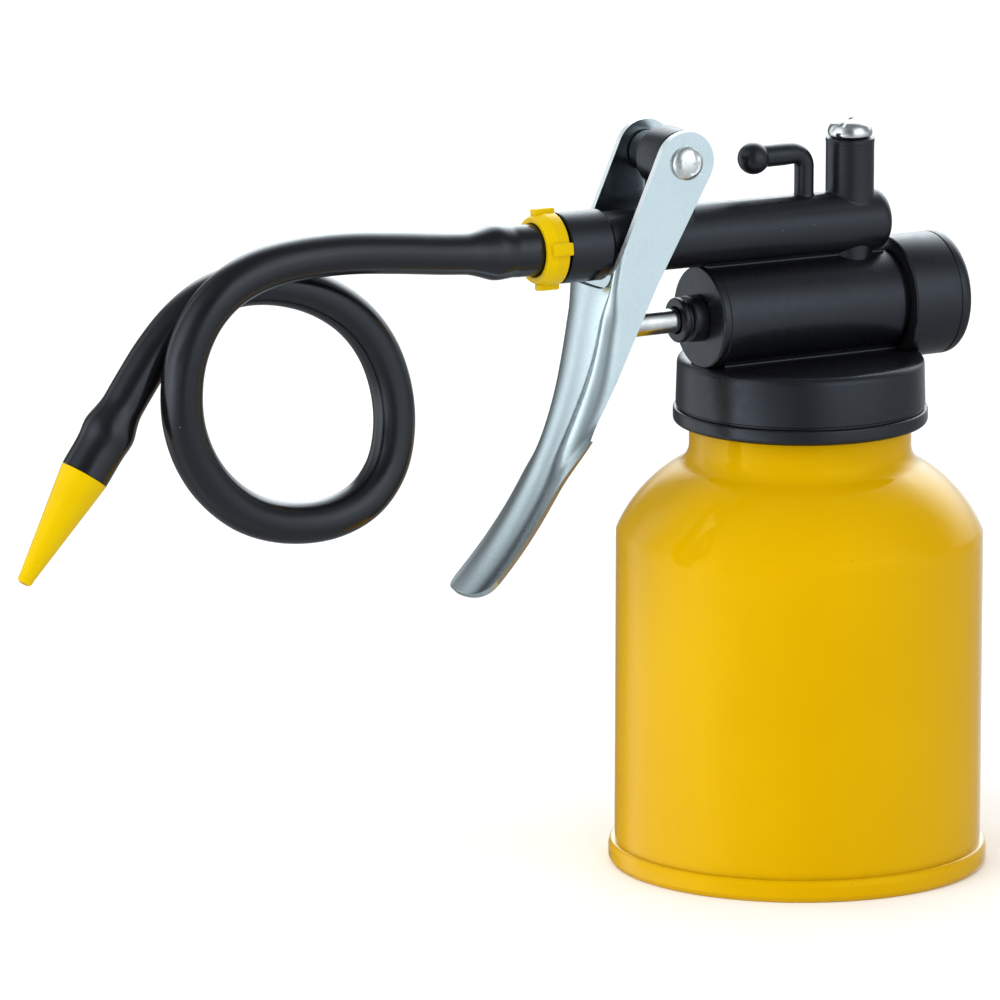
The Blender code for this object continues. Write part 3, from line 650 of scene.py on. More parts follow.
def make_nozzle():
    """A cone with a round nose and a small bore; its base has a narrow land against the hose."""
    outer = [(0.8, 0.0), (5.02, 0.0, 0.12), (1.62, -NOZZLE_LENGTH + 1.5, 3.0)]
    outer += [(1.6, -NOZZLE_LENGTH, 0.95), (0.8, -NOZZLE_LENGTH, 0.2), (0.75, -NOZZLE_LENGTH + 3.0)]
    nozzle = turned("nozzle", rounded(outer, closed=True, steps=6), closed=True, steps=96)
    turn = NOZZLE_HEADING.to_track_quat("-Z", "Y").to_matrix().to_4x4()
    place = Matrix.Translation(Vector(HOSE_ROUTE[-1]) + NOZZLE_HEADING * 0.1) @ turn
    placed(nozzle, place)
    return piece(shaded(nozzle), "spout", "collar_plastic", YELLOW, "nozzle_tip")


# ---- can

CAN_R = 37.5
NECK_R = 22.7
NECK_TOP_Z = 99.3
CAN_WALL = 0.6
SEAM_R = 38.75


def can_side(inset):
    """The can's side from its neck down to its wall, moved inwards by the inset."""
    upper = arc((NECK_R + 4.4, 86.98), 4.4 + inset, 180, 240.2, 10)
    lower = arc((10.1, 57.3), 29.8 - inset, 60.2, 23.4, 18)
    return [(r, z) for r, z in upper + lower] + [(CAN_R - inset, 66.6, 5.0)]


def make_can():
    outer = [(NECK_R, NECK_TOP_Z, 0.3)] + can_side(0.0) + [(CAN_R, 50.0), (CAN_R, 30.0), (CAN_R, 4.0)]
    inner = [(CAN_R - CAN_WALL, 4.0), (CAN_R - CAN_WALL, 40.0)] + can_side(CAN_WALL)[::-1]
    rim = [(NECK_R - CAN_WALL, 97.6, 0.3), (NECK_R - 1.6, 98.0, 0.2), (NECK_R - 1.6, NECK_TOP_Z, 0.3)]
    wall = turned("can_wall", rounded(outer + inner + rim, closed=True), closed=True, steps=160)
    piece(shaded(wall), "can", "can_enamel", ENAMEL, "can_shell")
    seam = [(0, 1.3), (28.8, 1.3, 1.0), (30.9, 3.4, 1.0), (36.4, 3.4, 0.3), (36.4, 4.3, 0.2),
            (37.4, 4.6, 0.15), (38.35, 4.6, 0.5), (SEAM_R, 3.2, 1.5), (SEAM_R, 1.1, 0.7),
            (38.1, 0, 0.6), (36.2, 0, 0.6), (36.0, 2.8, 0.8), (31.2, 2.8, 1.0), (29.1, 0.7, 1.0),
        (0, 0.7)]
    base = turned("can_bottom", rounded(seam, steps=6), steps=160)
    piece(shaded(base), "can", "can_enamel", ENAMEL, "can_base")


# ---- pump head

CAP_R = 25.2
CAP_TOP_Z = 105.5
PUMP_Z = 115.4
CYLINDER_R = 10.5
CYLINDER_FRONT_X = -24.1
CYLINDER_REAR_X = 19.8
SPIGOT_R = 9.4
SPIGOT_END_X = 28.0
VALVE_X = 11.3
POST_R = 4.95
POST_TOP_Z = 149.4
BARREL_Z = 132.2
BARREL_R = 6.45
BOSS_R = 7.2
BARREL_RISE = math.radians(0.7)
NOSE_R = 6.2
NOSE_END_X = -59.8
PIVOT = (-32.4, 149.5)
PIN_HOLE_R = 2.3
BEARING_END = 7.2
FILLET = 0.4
SINK = 0.03


def barrel_z(x):
    return BARREL_Z - x * math.tan(BARREL_RISE)


def cap_blank():
    profile = [(0, CAP_TOP_Z), (CAP_R, CAP_TOP_Z, 1.7), (CAP_R + 0.28, 95.5, 0.1),
               (CAP_R - 0.15, 95.35, 0.1), (CAP_R - 0.15, 94.95, 0.1), (CAP_R + 0.8, 94.85, 0.45),
               (CAP_R + 0.8, 91.7, 1.0), (23.1, 91.7, 0.3), (23.1, 101.2, 0.4), (0, 101.2)]
    return turned("head_moulding", rounded(profile, steps=6), steps=144)


def cylinder_blank():
    profile = [(0, SPIGOT_END_X), (SPIGOT_R, SPIGOT_END_X, 0.3), (SPIGOT_R, CYLINDER_REAR_X),
               (CYLINDER_R, CYLINDER_REAR_X, 1.5), (CYLINDER_R, -22.2, 0.05),
               (CYLINDER_R - 0.1, -22.35, 0.05), (CYLINDER_R, -22.5, 0.05),
               (CYLINDER_R, CYLINDER_FRONT_X, 0.6), (0, CYLINDER_FRONT_X)]
    return along_x(turned("cylinder", rounded(profile, steps=5), steps=112), PUMP_Z)


def barrel_blank():
    profile = [(0, 18.7), (BARREL_R, 18.7, 2.6), (BARREL_R, -47.2, 0.3), (BOSS_R, -48.0, 0.3),
               (BOSS_R, -57.5, 0.4), (NOSE_R, -57.5), (NOSE_R, NOSE_END_X, 0.3), (0, NOSE_END_X)]
    return along_barrel(turned("barrel", rounded(profile, steps=7), steps=96))


def footed(name, x, radius, top, steps=72):
    """A round post on the barrel whose foot flares on to it. top: its upper (radius, height) points."""
    def on_barrel(px, py):
        return barrel_z(px) + math.sqrt(max(0.0, BARREL_R ** 2 - py ** 2))

    def build(made):
        rings = [[made.verts.new((x, 0, top[0][1]))]]
        wide = radius + FILLET
        for r, h in top[1:]:
            rings.append(circle(made, r, h, steps, x))
        for step in range(9):
            t = step / 8
            row = []
            for a in around(steps):
                low = on_barrel(x + radius * math.cos(a), radius * math.sin(a))
                foot = on_barrel(x + wide * math.cos(a), wide * math.sin(a)) - 0.05
                r = radius * (1 - t) ** 2 + 2 * radius * t * (1 - t) + wide * t * t
                h = (low + FILLET) * (1 - t) ** 2 + 2 * low * t * (1 - t) + foot * t * t
                row.append(made.verts.new((x + r * math.cos(a), r * math.sin(a), h)))
            rings.append(row)
        deep = BARREL_Z + 1.0
        rings.append(circle(made, radius, deep, steps, x))
        rings.append([made.verts.new((x, 0, deep))])
        stitch(made, rings, steps)

    return mesh_object(name, build)


HOOK_X = 0.45
HOOK_Z = 147.25
HOOK_R = 2.0
HOOK_BEND_R = 2.9
HOOK_BALL_X = -11.5
HOOK_BALL_R = 3.25


def hook_blanks():
    bend = arc((HOOK_X - HOOK_BEND_R, HOOK_Z - HOOK_BEND_R), HOOK_BEND_R, 0, 90, 14)
    path = [(HOOK_X, 0, 142.2), (HOOK_X, 0, 143.2)] + [(x, 0, z) for x, z in bend]
    path += [(HOOK_X - 5.0, 0, HOOK_Z), (HOOK_BALL_X, 0, HOOK_Z)]
    thickness = [HOOK_R + 0.25 * blend(HOOK_X - point[0], 0.5, 5.0) for point in path]
    bar = tube("hook_bar", path, thickness, sides=40)
    foot = footed("hook_foot", HOOK_X, HOOK_R, [(0, 142.9), (HOOK_R, 142.9)], steps=40)

    def build(made):
        bmesh.ops.create_uvsphere(made, u_segments=40, v_segments=24, radius=HOOK_BALL_R)

    ball = at(mesh_object("hook_ball", build), x=HOOK_BALL_X, z=HOOK_Z - 0.2)
    return [bar, foot, ball]


def web_blank():
    """Between the barrel and the cylinder: both sides are hollow and run smoothly into both."""
    def section(x):
        gap = barrel_z(x) - PUMP_Z
        low = CYLINDER_R + FILLET
        high = BARREL_R + FILLET
        up = (low ** 2 - high ** 2 + gap ** 2) / (2 * gap)
        out = math.sqrt(low ** 2 - up ** 2)
        to_barrel = math.degrees(math.atan2(gap - up, -out))
        to_cylinder = math.degrees(math.atan2(-up, -out)) % 360
        curve = arc((out, up), FILLET + SINK, to_barrel, to_cylinder, 10)
        half = [(0, gap - 1.0)] + curve + [(0, 7.0)]
        return [(y, PUMP_Z + z) for y, z in half + [(-y, z) for y, z in half[-2:0:-1]]]

    def build(made):
        rows = [[made.verts.new((x, y, z)) for y, z in section(x)] for x in (-23.3, -10.0, 5.0, 18.0)]
        for first, second in zip(rows, rows[1:]):
            for k in range(len(first)):
                n = (k + 1) % len(first)
                made.faces.new((first[k], first[n], second[n], second[k]))
        made.faces.new(rows[0][::-1])
        made.faces.new(rows[-1])
        bmesh.ops.recalc_face_normals(made, faces=made.faces)

    return mesh_object("web", build)


def saddle_blank():
    """Fills the crease between the cylinder and the cap's top with a hollow fillet."""
    up = CAP_TOP_Z + FILLET - PUMP_Z
    out = math.sqrt((CYLINDER_R + FILLET) ** 2 - up ** 2)
    to_cylinder = math.degrees(math.atan2(-up, -out))
    curve = arc((out, up), FILLET + SINK, to_cylinder, 270, 10)
    bottom = up - FILLET - 0.6
    half = [(0, -7.0)] + curve + [(out, bottom), (0, bottom)]
    ring = half + [(-y, z) for y, z in half[-2:0:-1]]
    return prism("saddle", [(y, PUMP_Z + z) for y, z in ring], -20.8, 19.6, axis="X")


def make_head():
    head = cap_blank()
    relief = along_x(rod("relief", 12.9, CYLINDER_REAR_X + 0.1, 40.0, steps=96), PUMP_Z)
    boolean(head, [relief], "DIFFERENCE")
    rim = POST_R + 0.06
    post = footed("post", VALVE_X, POST_R, rounded([(0, POST_TOP_Z), (rim, POST_TOP_Z, 0.25),
                                                   (rim, 148.5, 0.1), (POST_R, 148.4, 0.1),
                                                   (POST_R, 141.0)]))
    near = rounded([(0, BEARING_END), (6.28, BEARING_END, 0.5), (6.28, -0.8, 0.5), (0, -0.8)])
    boss = along_y(turned("boss", near, steps=80), *PIVOT)
    far = rounded([(0, 1.0), (4.2, 1.0), (4.2, -BEARING_END, 0.4), (0, -BEARING_END)])
    hub = along_y(turned("hub", far, steps=64), *PIVOT)
    neck = block("neck", (-36.7, -5.6, 134.0), (-28.1, 0.8, PIVOT[1] - 1.0), edge=0.7)
    inlet_boss = at(rod("inlet_boss", 5.2, 88.5, 102.2), x=VALVE_X)
    chamber = at(rod("chamber", 4.7, PUMP_Z + 6.0, BARREL_Z - 2.0, steps=64), x=VALVE_X)
    boolean(head, [cylinder_blank(), saddle_blank(), barrel_blank(), web_blank(), post, boss, hub, neck,
                   *hook_blanks(), inlet_boss, chamber], "UNION")
    core = turned("core", [(0, 40.0), (7.5, 40.0), (7.5, -17.4), (3.0, -17.4), (3.0, -18.1), (4.3, -18.1),
                           (4.3, -30.0), (0, -30.0)], steps=56)
    along_x(core, PUMP_Z)
    inlet = at(turned("inlet", [(0, 102.5), (3.0, 102.5), (3.0, 92.3), (2.7, 92.3), (2.7, 85.0),
                                (0, 85.0)], steps=32), x=VALVE_X)
    inlet_slot = block("inlet_slot", (VALVE_X - 2.8, -0.7, 101.5), (VALVE_X + 2.8, 0.7, PUMP_Z - 6.0))
    outlet = at(turned("outlet", [(0, 155.0), (4.0, 155.0), (4.0, 148.6), (3.0, 148.6), (3.0, 126.6),
                                  (1.5, 126.6), (1.5, 120.4), (0, 120.4)], steps=32), x=VALVE_X)
    delivery = along_barrel(rod("delivery", 3.0, -70.0, VALVE_X, steps=32))
    pin_hole = along_y(rod("pin_hole", PIN_HOLE_R, -12.0, 12.0, steps=32), *PIVOT)
    boolean(head, [core, inlet, inlet_slot, outlet, delivery, pin_hole], "DIFFERENCE")
    piece(shaded(head, 28), "pump_head", "head_plastic", HEAD, "pump_body")


def make_rear_cap():
    end = 33.7
    front = CYLINDER_REAR_X + 0.3
    radius = 12.6
    groove = radius - 0.22
    bore = 9.7
    profile = [(0, end - 0.35), (8.5, end - 0.35, 0.2), (8.8, end, 0.2), (12.5, end, 1.9),
               (radius, end - 2.75, 0.06), (groove, end - 2.85, 0.04), (groove, end - 3.05, 0.04),
               (radius, end - 3.15, 0.06), (radius, front, 0.5), (bore, front), (bore, 29.8), (0, 29.8)]
    cap = along_x(turned("cylinder_cap", rounded(profile, steps=6), steps=128), PUMP_Z)
    piece(shaded(cap), "pump_head", "head_plastic", HEAD, "rear_cap")


def make_gland():
    bore = 2.8
    front = CYLINDER_FRONT_X
    neck = 3.9
    lip = 4.6
    profile = [(bore, -20.4), (4.0, -20.4), (4.0, front - 0.3), (4.85, front - 0.3, 0.2),
               (4.7, -27.2, 0.5), (neck, -27.6, 0.2), (neck, -28.2, 0.15), (lip, -28.35, 0.3),
               (lip, -29.6, 0.4), (bore, -29.6, 0.2)]
    gland = along_x(turned("gland", rounded(profile, closed=True), closed=True, steps=64), PUMP_Z)
    piece(shaded(gland), "pump_head", "head_plastic", HEAD, "rod_gland")


def make_screw():
    """Pan head screw with a slot; a narrow flat land under its head."""
    head = POST_TOP_Z + 0.3
    pan = [(0, head + 3.5), (1.7, head + 3.44), (3.0, head + 3.08), (3.95, head + 2.45),
           (4.45, head + 1.6), (4.6, head + 0.95), (4.52, head + 0.4), (4.3, head + 0.05), (4.1, head)]
    shank = [pan[-1], (2.7, head, 0.2), (2.7, 143.0, 0.3), (0, 143.0)]
    route, _ = smooth_route([(r, 0, z) for r, z in pan], 0.16)
    smooth = [(max(0.0, p.x), p.z) for p in route]
    smooth[0] = (0.0, smooth[0][1])
    screw = turned("screw", smooth + rounded(shank)[1:], steps=96)
    slot = block("slot", (-6, -0.55, head + 2.3), (6, 0.55, head + 5))
    placed(slot, Matrix.Rotation(math.radians(35), 4, "Z"))
    boolean(screw, [slot], "DIFFERENCE")
    soften(screw, 0.12, angle=35)
    at(screw, x=VALVE_X)
    piece(shaded(screw), "pump_head", "screw_chrome", CHROME, "valve_screw")


# ---- lever, rivet and rod

SHEET = 1.4
HALF_WIDTH = 9.0
EAR_R = 6.36
WEB_TOP = (-50.65, 124.0)
WEB_TOP_ANGLE = math.radians(10.5)
WEB_STRAIGHT = 10.0
WEB_BEND_R = 88.0
WEB_LENGTH = 67.6
FRONT_SLOPE = math.radians(23.9)
REAR_SLOPE = math.radians(29.7)
HEEL_SLOPE = math.radians(26.1)
KNEE_Z = 125.0
HEEL_Z = 94.5
NOTCH_HALF_WIDTH = 7.45
NOTCH_CORNER_R = 2.8
NOTCH_BOTTOM_Z = WEB_TOP[1] + 0.7


def web_point(s):
    """(x, z, angle) of the web's outer face at distance s below its top edge."""
    angle = WEB_TOP_ANGLE + max(0.0, s - WEB_STRAIGHT) / WEB_BEND_R
    run = min(s, WEB_STRAIGHT)
    x = WEB_TOP[0] - run * math.sin(WEB_TOP_ANGLE)
    z = WEB_TOP[1] - run * math.cos(WEB_TOP_ANGLE)
    if s > WEB_STRAIGHT:
        x -= WEB_BEND_R * (math.cos(WEB_TOP_ANGLE) - math.cos(angle))
        z -= WEB_BEND_R * (math.sin(angle) - math.sin(WEB_TOP_ANGLE))
    return x, z, angle


SECTION_STEPS = 22


def channel_section(depth, corner):
    """Half of the upper section as (y, depth) points: crowned web, round corner, straight flange."""
    lean = math.radians(15)
    flat = HALF_WIDTH - corner * (1 - math.sin(lean))
    crown = flat / math.sin(lean)
    web = [(crown * math.sin(a), crown * (1 - math.cos(a))) for a in [lean * k / 6 for k in range(6)]]
    rise = crown * (1 - math.cos(lean))
    bend = []
    for step in range(11):
        a = lean + (math.pi / 2 - lean) * step / 10
        bend.append((flat + corner * (math.sin(a) - math.sin(lean)),
                     rise + corner * (math.cos(lean) - math.cos(a))))
    low = rise + corner * math.cos(lean)
    flange = [(HALF_WIDTH, low + (depth - low) * k / 5) for k in range(1, 6)]
    return web + bend + flange


def gutter_section(half_width, radius):
    """Half of the lower section: a shallow arc with as many points as the channel section."""
    edge = math.asin(half_width / radius)
    angles = [edge * step / (SECTION_STEPS - 1) for step in range(SECTION_STEPS)]
    return [(radius * math.sin(a), radius * (1 - math.cos(a))) for a in angles]


def lever_section(s):
    shallow = blend(s, 14.0, 40.0)
    depth = 26.0 - 18.5 * blend(s, -34.0, 22.0)
    half_width = HALF_WIDTH - 1.7 * blend(s, 15.0, 45.0)
    tip = max(0.0, s - (WEB_LENGTH - 6.5)) / 6.5
    narrowing = (1 - min(tip, 0.985) ** 3) ** 0.45
    upper = channel_section(depth, 1.7 + 2.3 * blend(s, -2.0, 6.0) + 1.5 * blend(s, 6.0, 25.0))
    lower = gutter_section(half_width, 15.0 + 5.0 * blend(s, 34.0, WEB_LENGTH))
    return [((u[0] + (g[0] - u[0]) * shallow) * narrowing,
             u[1] + (g[1] * narrowing ** 2 - u[1]) * shallow)
            for u, g in zip(upper, lower)]


def lever_sheet():
    stations = [-38.5, -24.0, -8.0] + [-3.0 + 1.6 * step for step in range(40)]
    stations += [WEB_LENGTH - gap for gap in (6.5, 5.5, 4.5, 3.6, 2.8, 2.1, 1.5, 1.0, 0.6, 0.3, 0.1)]
    stations = sorted(set(s for s in stations if s < WEB_LENGTH))

    def build(made):
        rows = []
        for s in stations:
            x, z, angle = web_point(s)
            half = lever_section(s)
            full = [(-y, d) for y, d in half[:0:-1]] + half
            rows.append([made.verts.new((x + d * math.cos(angle), y, z - d * math.sin(angle)))
                         for y, d in full])
        for upper, lower in zip(rows, rows[1:]):
            for k in range(len(upper) - 1):
                made.faces.new((upper[k], lower[k], lower[k + 1], upper[k + 1]))
        bmesh.ops.recalc_face_normals(made, faces=made.faces)

    sheet = mesh_object("lever_pressing", build)
    solid = sheet.modifiers.new("sheet", "SOLIDIFY")
    solid.thickness = SHEET * MM
    solid.offset = -1.0
    solid.use_even_offset = True
    return settle(sheet)


def tangent(angle, side):
    return PIVOT[0] + side * EAR_R * math.cos(angle), PIVOT[1] - side * EAR_R * math.sin(angle)


def lever_side_view():
    front_top = tangent(FRONT_SLOPE, -1)
    rear_top = tangent(REAR_SLOPE, 1)
    ear = arc(PIVOT, EAR_R, 180 - math.degrees(FRONT_SLOPE), -math.degrees(REAR_SLOPE), 40)
    step_z = WEB_TOP[1] + 2.8
    step_x = front_top[0] - (front_top[1] - step_z) * math.tan(FRONT_SLOPE)
    knee_x = rear_top[0] - (rear_top[1] - KNEE_Z) * math.tan(REAR_SLOPE)
    heel_x = knee_x - (KNEE_Z - HEEL_Z) * math.tan(HEEL_SLOPE)
    rest = [(knee_x, KNEE_Z), (heel_x, HEEL_Z), (-40.0, HEEL_Z - 3.0), (-40.0, 40.0), (-95.0, 40.0),
            (-95.0, step_z), (step_x, step_z)]
    return ear + rest


def merge_flat_sides(obj):
    """Joins the faces of the ears' flat sides, so that each shades as one plane."""
    made = bmesh.new()
    made.from_mesh(obj.data)
    edges = [edge for edge in made.edges if all(abs(face.normal.y) > 0.9999 for face in edge.link_faces)]
    bmesh.ops.dissolve_edges(made, edges=edges, use_verts=True)
    bmesh.ops.triangulate(made, faces=[face for face in made.faces if len(face.verts) > 8])
    made.to_mesh(obj.data)
    made.free()


def mark_sheared_edges(obj):
    """Marks the cut edges, which have far more metal behind them than the sheet's thickness.

    The ears' front edges get FRONT_EDGE, which the zinc covers with a painted highlight, and the dull
    rear edges get REAR_EDGE."""
    made = bmesh.new()
    made.from_mesh(obj.data)
    made.faces.ensure_lookup_table()
    tree = BVHTree.FromBMesh(made)
    marks = []
    for face in made.faces:
        centre = face.calc_center_median()
        depth = tree.ray_cast(centre - face.normal * 0.01 * MM, -face.normal)[3]
        mark = 0.0
        if depth is not None and depth > 1.7 * SHEET * MM:
            if face.normal.x > 0.2:
                mark = REAR_EDGE
            elif face.normal.x < -0.2 and centre.z > WEB_TOP[1] * MM:
                mark = FRONT_EDGE
        marks.append(mark)
    made.free()
    obj.data.attributes.new(SHEARED, "FLOAT", "FACE").data.foreach_set("value", marks)


def make_lever():
    lever = lever_sheet()
    boolean(lever, [prism("side_view", lever_side_view(), -14.0, 14.0)], "INTERSECT")
    corner = NOTCH_CORNER_R
    half = NOTCH_HALF_WIDTH
    low = NOTCH_BOTTOM_Z
    notch = [(-half, low + 12), (-half, low + corner)]
    notch += [(-half + corner - corner * math.cos(a), low + corner - corner * math.sin(a))
              for a in [math.radians(9 * step) for step in range(1, 11)]]
    notch += [(-y, z) for y, z in notch[::-1]]
    cutter = prism("notch", notch, -62.0, -38.0, axis="X")
    hole = along_y(rod("lever_hole", PIN_HOLE_R, -12.0, 12.0), *PIVOT)
    boolean(lever, [cutter, hole], "DIFFERENCE")
    merge_flat_sides(lever)
    soften(lever, 0.28, angle=45)
    shaded(lever, 35)
    lever.modifiers.new("flat_faces", "WEIGHTED_NORMAL").keep_sharp = True
    settle(lever)
    mark_sheared_edges(lever)
    piece(lever, "squeeze_lever", "lever_zinc", ZINC, "lever")


def make_rivet():
    """Peened rivet: domed heads that the tool has left uneven."""
    inner = HALF_WIDTH + 0.05
    angles = [math.radians(6 * k) for k in range(16)]
    dome = [(3.5 * math.sin(a), 0.35 + 1.55 * math.cos(a)) for a in angles] + [(3.42, 0.0)]
    upper = [(r, inner + h) for r, h in dome]
    lower = [(r, -inner - h) for r, h in dome[::-1]]
    rivet = turned("rivet", upper + [(2.0, inner), (2.0, -inner)] + lower, steps=72)
    for vert in rivet.data.vertices:
        spot = vert.co / MM
        if abs(spot.z) < inner + 0.2:
            continue
        radius = math.hypot(spot.x, spot.y)
        angle = math.atan2(spot.y, spot.x)
        rough = noise.noise(spot * 0.75) * 0.22
        mark = 0.28 * math.exp(-((radius - 2.45) / 0.28) ** 2) * blend(math.cos(angle + 0.5), 0.15, 0.7)
        depth = rough * blend(3.6 - radius, 0.0, 1.2) - mark
        vert.co.z += math.copysign(min(depth, 0.0), spot.z) * MM
    along_y(rivet, *PIVOT)
    piece(shaded(rivet, 40), "squeeze_lever", "bare_steel", RIVET, "pivot_pin")


ROD_R = 2.5


def make_rod():
    front = -17.1
    tip = -50.3
    stub_r = 1.9
    profile = [(0, front + 5.6), (stub_r, front + 5.6, 0.2), (stub_r, front - 0.3),
               (ROD_R, front - 0.3, 0.1), (ROD_R, tip, 1.3), (0, tip)]
    rod_piece = along_x(turned("plunger_rod", rounded(profile), steps=72), PUMP_Z)
    piece(shaded(rod_piece), "plunger", "bare_steel", STEEL, "piston_rod")


# ---- collar

LUG_TURN = math.radians(-9.0)
COLLAR_R = 7.5
COLLAR_BORE_R = 6.5
COLLAR_REAR = -58.3
COLLAR_FRONT = -62.9
LIP_REAR = -61.8


def make_collar():
    profile = [(COLLAR_BORE_R, COLLAR_REAR, 0.1), (COLLAR_R, COLLAR_REAR, 0.25), (COLLAR_R, -60.9, 0.5),
               (7.1, LIP_REAR, 0.7), (6.6, COLLAR_FRONT, 0.45), (5.45, COLLAR_FRONT, 0.3),
               (5.45, LIP_REAR), (COLLAR_BORE_R, LIP_REAR)]
    collar = turned("collar", rounded(profile, closed=True, steps=5), closed=True, steps=112)
    lugs = []
    for index in range(4):
        lug = block(f"lug_{index}", (6.75, -1.3, -62.3), (8.25, 1.3, -57.8), edge=0.42)
        lugs.append(placed(lug, Matrix.Rotation(index * math.pi / 2 + LUG_TURN, 4, "Z")))
    boolean(collar, lugs, "UNION")
    along_barrel(collar)
    piece(shaded(collar, 40), "collar", "collar_plastic", YELLOW, "collar_nut")


# ---- inner CAD pieces

INNER_FINISHES = {
    "neck_gasket": RUBBER, "rear_cap_seal": RUBBER, "rod_seal": RUBBER, "valve_screw_seal": RUBBER,
    "piston_seal": RUBBER, "suction_tube": INNER, "piston": INNER, "inlet_valve_seat": BRASS,
    "spout_nipple": BRASS, "inlet_check_ball": STEEL, "outlet_check_ball": STEEL,
    "outlet_valve_spring": STEEL, "return_spring": STEEL,
}


def finish_inner_pieces():
    for name, material in INNER_FINISHES.items():
        for slot in frame["nodes"][name].material_slots:
            slot.material = material


# ---- floor and light

FLOOR_RADIUS = 60.0
FLOOR_WHITE = 0.98
LIT_POINT = Vector((-0.03, 0.0, 0.08))


def make_floor():
    def build(made):
        bmesh.ops.create_circle(made, cap_ends=True, segments=96, radius=FLOOR_RADIUS / MM)

    floor = mesh_object("floor", build)
    material = bpy.data.materials.new("floor_paper")
    material.use_nodes = True
    shader = material.node_tree.nodes["Principled BSDF"]
    shader.inputs["Base Color"].default_value = (FLOOR_WHITE, FLOOR_WHITE, FLOOR_WHITE, 1.0)
    shader.inputs["Roughness"].default_value = 0.9
    shader.inputs["Specular IOR Level"].default_value = 0.1
    floor.data.materials.append(material)
    floor.visible_glossy = False


def softbox(name, azimuth, elevation, distance, width, height, power):
    """An area light aimed at the object. The azimuth counts from the camera, plus to its right."""
    right, toward = level_axes()
    a = math.radians(azimuth)
    e = math.radians(elevation)
    direction = (toward * math.cos(a) + right * math.sin(a)) * math.cos(e) + Vector((0, 0, math.sin(e)))
    data = bpy.data.lights.new(name, "AREA")
    data.shape = "RECTANGLE"
    data.size = width
    data.size_y = height
    data.energy = power
    light = bpy.data.objects.new(name, data)
    light.location = LIT_POINT + direction * distance
    light.rotation_mode = "QUATERNION"
    light.rotation_quaternion = (-direction).to_track_quat("-Z", "Y")
    light.visible_camera = False
    light.visible_glossy = False
    LINKED.link(light)


# What glossy surfaces see round them: the sine of a height above the horizon, then all round at that
# height (degrees right of the camera, brightness). This is a fitted table and not a plain studio: most
# levels were set from reflections that a program measured in the photograph. The area lights don't show
# in reflections.
STUDIO = [
    (-0.62, [(-180, 0.3), (-110, 0.45), (-60, 0.8), (-20, 0.55), (30, 0.6), (60, 0.6), (100, 0.38),
        (180, 0.3)]),
    (-0.3, [(-180, 0.9), (-168, 0.12), (-142, 0.12), (-126, 1), (-105, 1.35), (-90, 1.8), (-62, 3),
        (-46, 2.3), (-30, 1.2), (-14, 0.65), (0, 0.28), (14, 0.45), (28, 0.95), (62, 0.92),
        (76, 0.8), (92, 0.6), (120, 0.4), (150, 0.3), (180, 0.9)]),
    (0.02, [(-180, 1.6), (-166, 0.2), (-150, 0.1), (-137, 0.32), (-126, 1.05), (-120, 1.3),
        (-111, 0.85), (-104, 1.05), (-95, 1.4), (-75, 2.3), (-60, 2.6), (-50, 1), (-38, 0.5),
        (-14, 0.5), (-2, 0.3), (10, 0.45), (22, 0.95), (34, 1.4), (60, 1.3), (76, 1.1),
        (92, 0.7), (110, 0.4), (130, 0.3), (150, 0.8), (180, 1.6)]),
    (0.27, [(-180, 4.5), (-162, 2), (-154, 0.2), (-140, 0.16), (-127, 1.05), (-118, 1.15),
        (-109, 0.7), (-102, 0.75), (-94, 1), (-78, 1.9), (-60, 2.2), (-46, 1.5), (-32, 0.7),
        (-15, 0.26), (0, 0.2), (14, 0.4), (27, 1.9), (62, 1.95), (76, 1.2), (92, 0.4),
        (110, 0.3), (125, 1.2), (142, 2.5), (180, 4.5)]),
    (0.53, [(-180, 4.8), (-160, 3.6), (-150, 0.5), (-136, 0.3), (-126, 0.75), (-116, 0.8),
        (-107, 0.5), (-98, 0.7), (-90, 0.95), (-76, 1.3), (-60, 1.4), (-46, 1), (-32, 0.4),
        (-15, 0.22), (0, 0.17), (14, 0.35), (27, 1.6), (60, 1.8), (75, 1.1), (90, 0.3),
        (120, 0.4), (135, 2.5), (150, 4.8), (180, 4.8)]),
    (0.78, [(-180, 2.4), (-150, 1), (-130, 0.4), (-105, 0.3), (-88, 0.5), (-60, 0.6), (-45, 0.4),
        (0, 0.22), (30, 0.5), (60, 0.8), (80, 0.4), (110, 0.3), (140, 1), (180, 2.4)]),
    (0.95, [(-180, 0.25), (180, 0.25)]),
]
STUDIO_COLOUR = (0.90, 0.97, 1.0, 1.0)
WORLD_DIFFUSE = 0.84
MIX_A = 6
MIX_B = 7
MIX_RESULT = 2


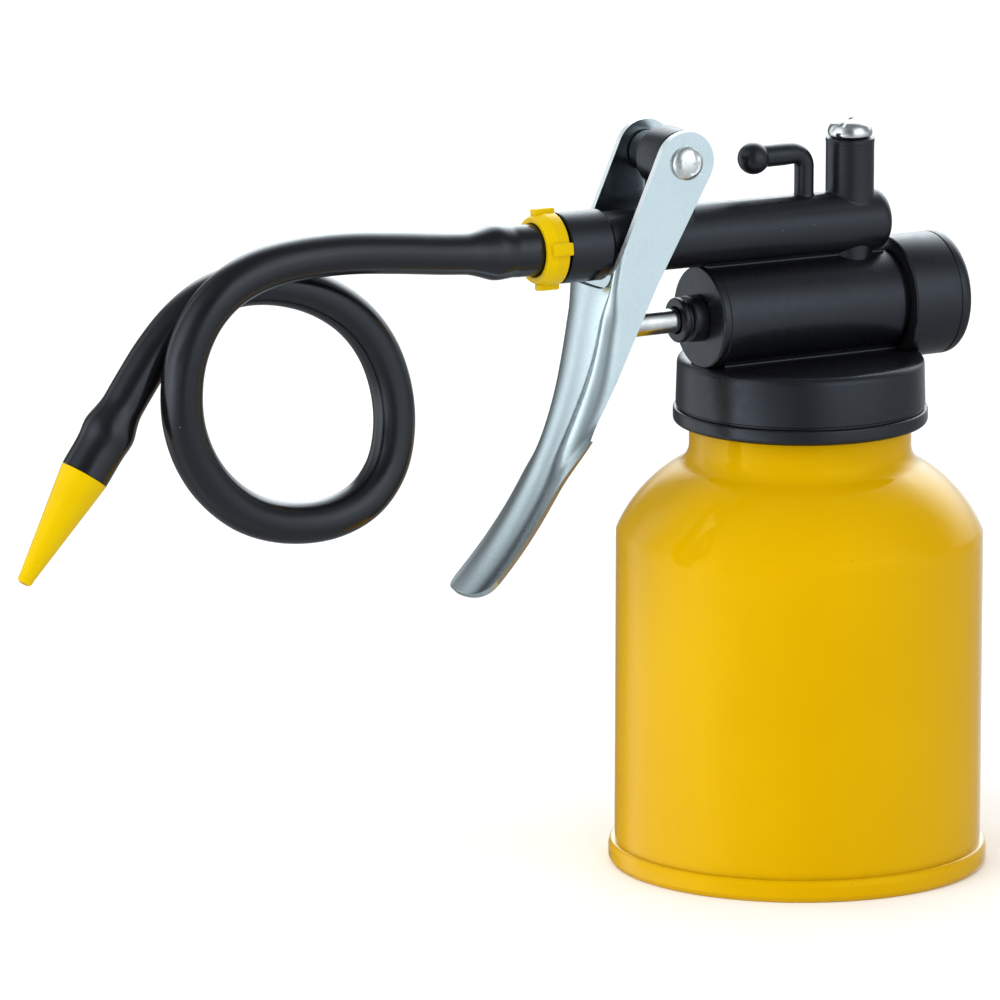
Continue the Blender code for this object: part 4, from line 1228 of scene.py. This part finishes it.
def make_light():
    softbox("left_box", -55, 14, 1.7, 1.1, 1.5, 14.0)
    softbox("left_rim", -112, 12, 1.8, 0.9, 1.4, 6.0)
    softbox("right_box", 62, 12, 1.9, 0.9, 1.5, 6.0)
    softbox("top_box", -14, 52, 1.9, 1.7, 0.5, 7.0)
    softbox("back_box", 175, 40, 2.2, 2.2, 0.7, 8.0)
    world = bpy.data.worlds.new("studio")
    world.use_nodes = True
    bpy.context.scene.world = world
    tree = world.node_tree

    def node(kind, *links, **settings):
        made = tree.nodes.new(kind)
        for name, value in settings.items():
            setattr(made, name, value)
        for socket, source in zip(made.inputs, links):
            if isinstance(source, bpy.types.NodeSocket):
                tree.links.new(source, socket)
            elif source is not None:
                socket.default_value = source
        return made

    def ramp(stops, value):
        made = node("ShaderNodeValToRGB", value)
        elements = made.color_ramp.elements
        while len(elements) < len(stops):
            elements.new(0.5)
        for element, (degrees, level) in zip(elements, stops):
            element.position = (degrees + 180) / 360
            element.color = (level, level, level, 1.0)
        return made.outputs["Color"]

    right, toward = level_axes()
    direction = tree.nodes.new("ShaderNodeTexCoord").outputs["Generated"]
    across = node("ShaderNodeVectorMath", direction, right, operation="DOT_PRODUCT").outputs["Value"]
    ahead = node("ShaderNodeVectorMath", direction, toward, operation="DOT_PRODUCT").outputs["Value"]
    turn = node("ShaderNodeMath", across, ahead, operation="ARCTAN2").outputs["Value"]
    share = node("ShaderNodeMapRange", turn, -math.pi, math.pi).outputs["Result"]
    height = node("ShaderNodeSeparateXYZ", direction).outputs["Z"]
    levels = [(level, ramp(stops, share)) for level, stops in STUDIO]
    dome = levels[0][1]
    for (lower, _), (upper, colours) in zip(levels, levels[1:]):
        rise = node("ShaderNodeMapRange", height, lower, upper).outputs["Result"]
        layer = node("ShaderNodeMix", rise, data_type="RGBA")
        tree.links.new(dome, layer.inputs[MIX_A])
        tree.links.new(colours, layer.inputs[MIX_B])
        dome = layer.outputs[MIX_RESULT]
    tint = node("ShaderNodeMix", 1.0, data_type="RGBA", blend_type="MULTIPLY")
    tree.links.new(dome, tint.inputs[MIX_A])
    tint.inputs[MIX_B].default_value = STUDIO_COLOUR
    rays = tree.nodes.new("ShaderNodeLightPath")
    seen = node("ShaderNodeMix", rays.outputs["Is Glossy Ray"], data_type="RGBA")
    seen.inputs[MIX_A].default_value = (WORLD_DIFFUSE, WORLD_DIFFUSE, WORLD_DIFFUSE, 1.0)
    tree.links.new(tint.outputs[MIX_RESULT], seen.inputs[MIX_B])
    tree.links.new(seen.outputs[MIX_RESULT], tree.nodes["Background"].inputs["Color"])


make_camera()
make_hose()
make_can()
make_head()
make_rear_cap()
make_gland()
make_screw()
make_lever()
make_rivet()
make_rod()
make_collar()
finish_inner_pieces()
make_floor()
make_light()
bpy.context.scene.view_settings.view_transform = "Standard"

bpy.context.view_layer.update()
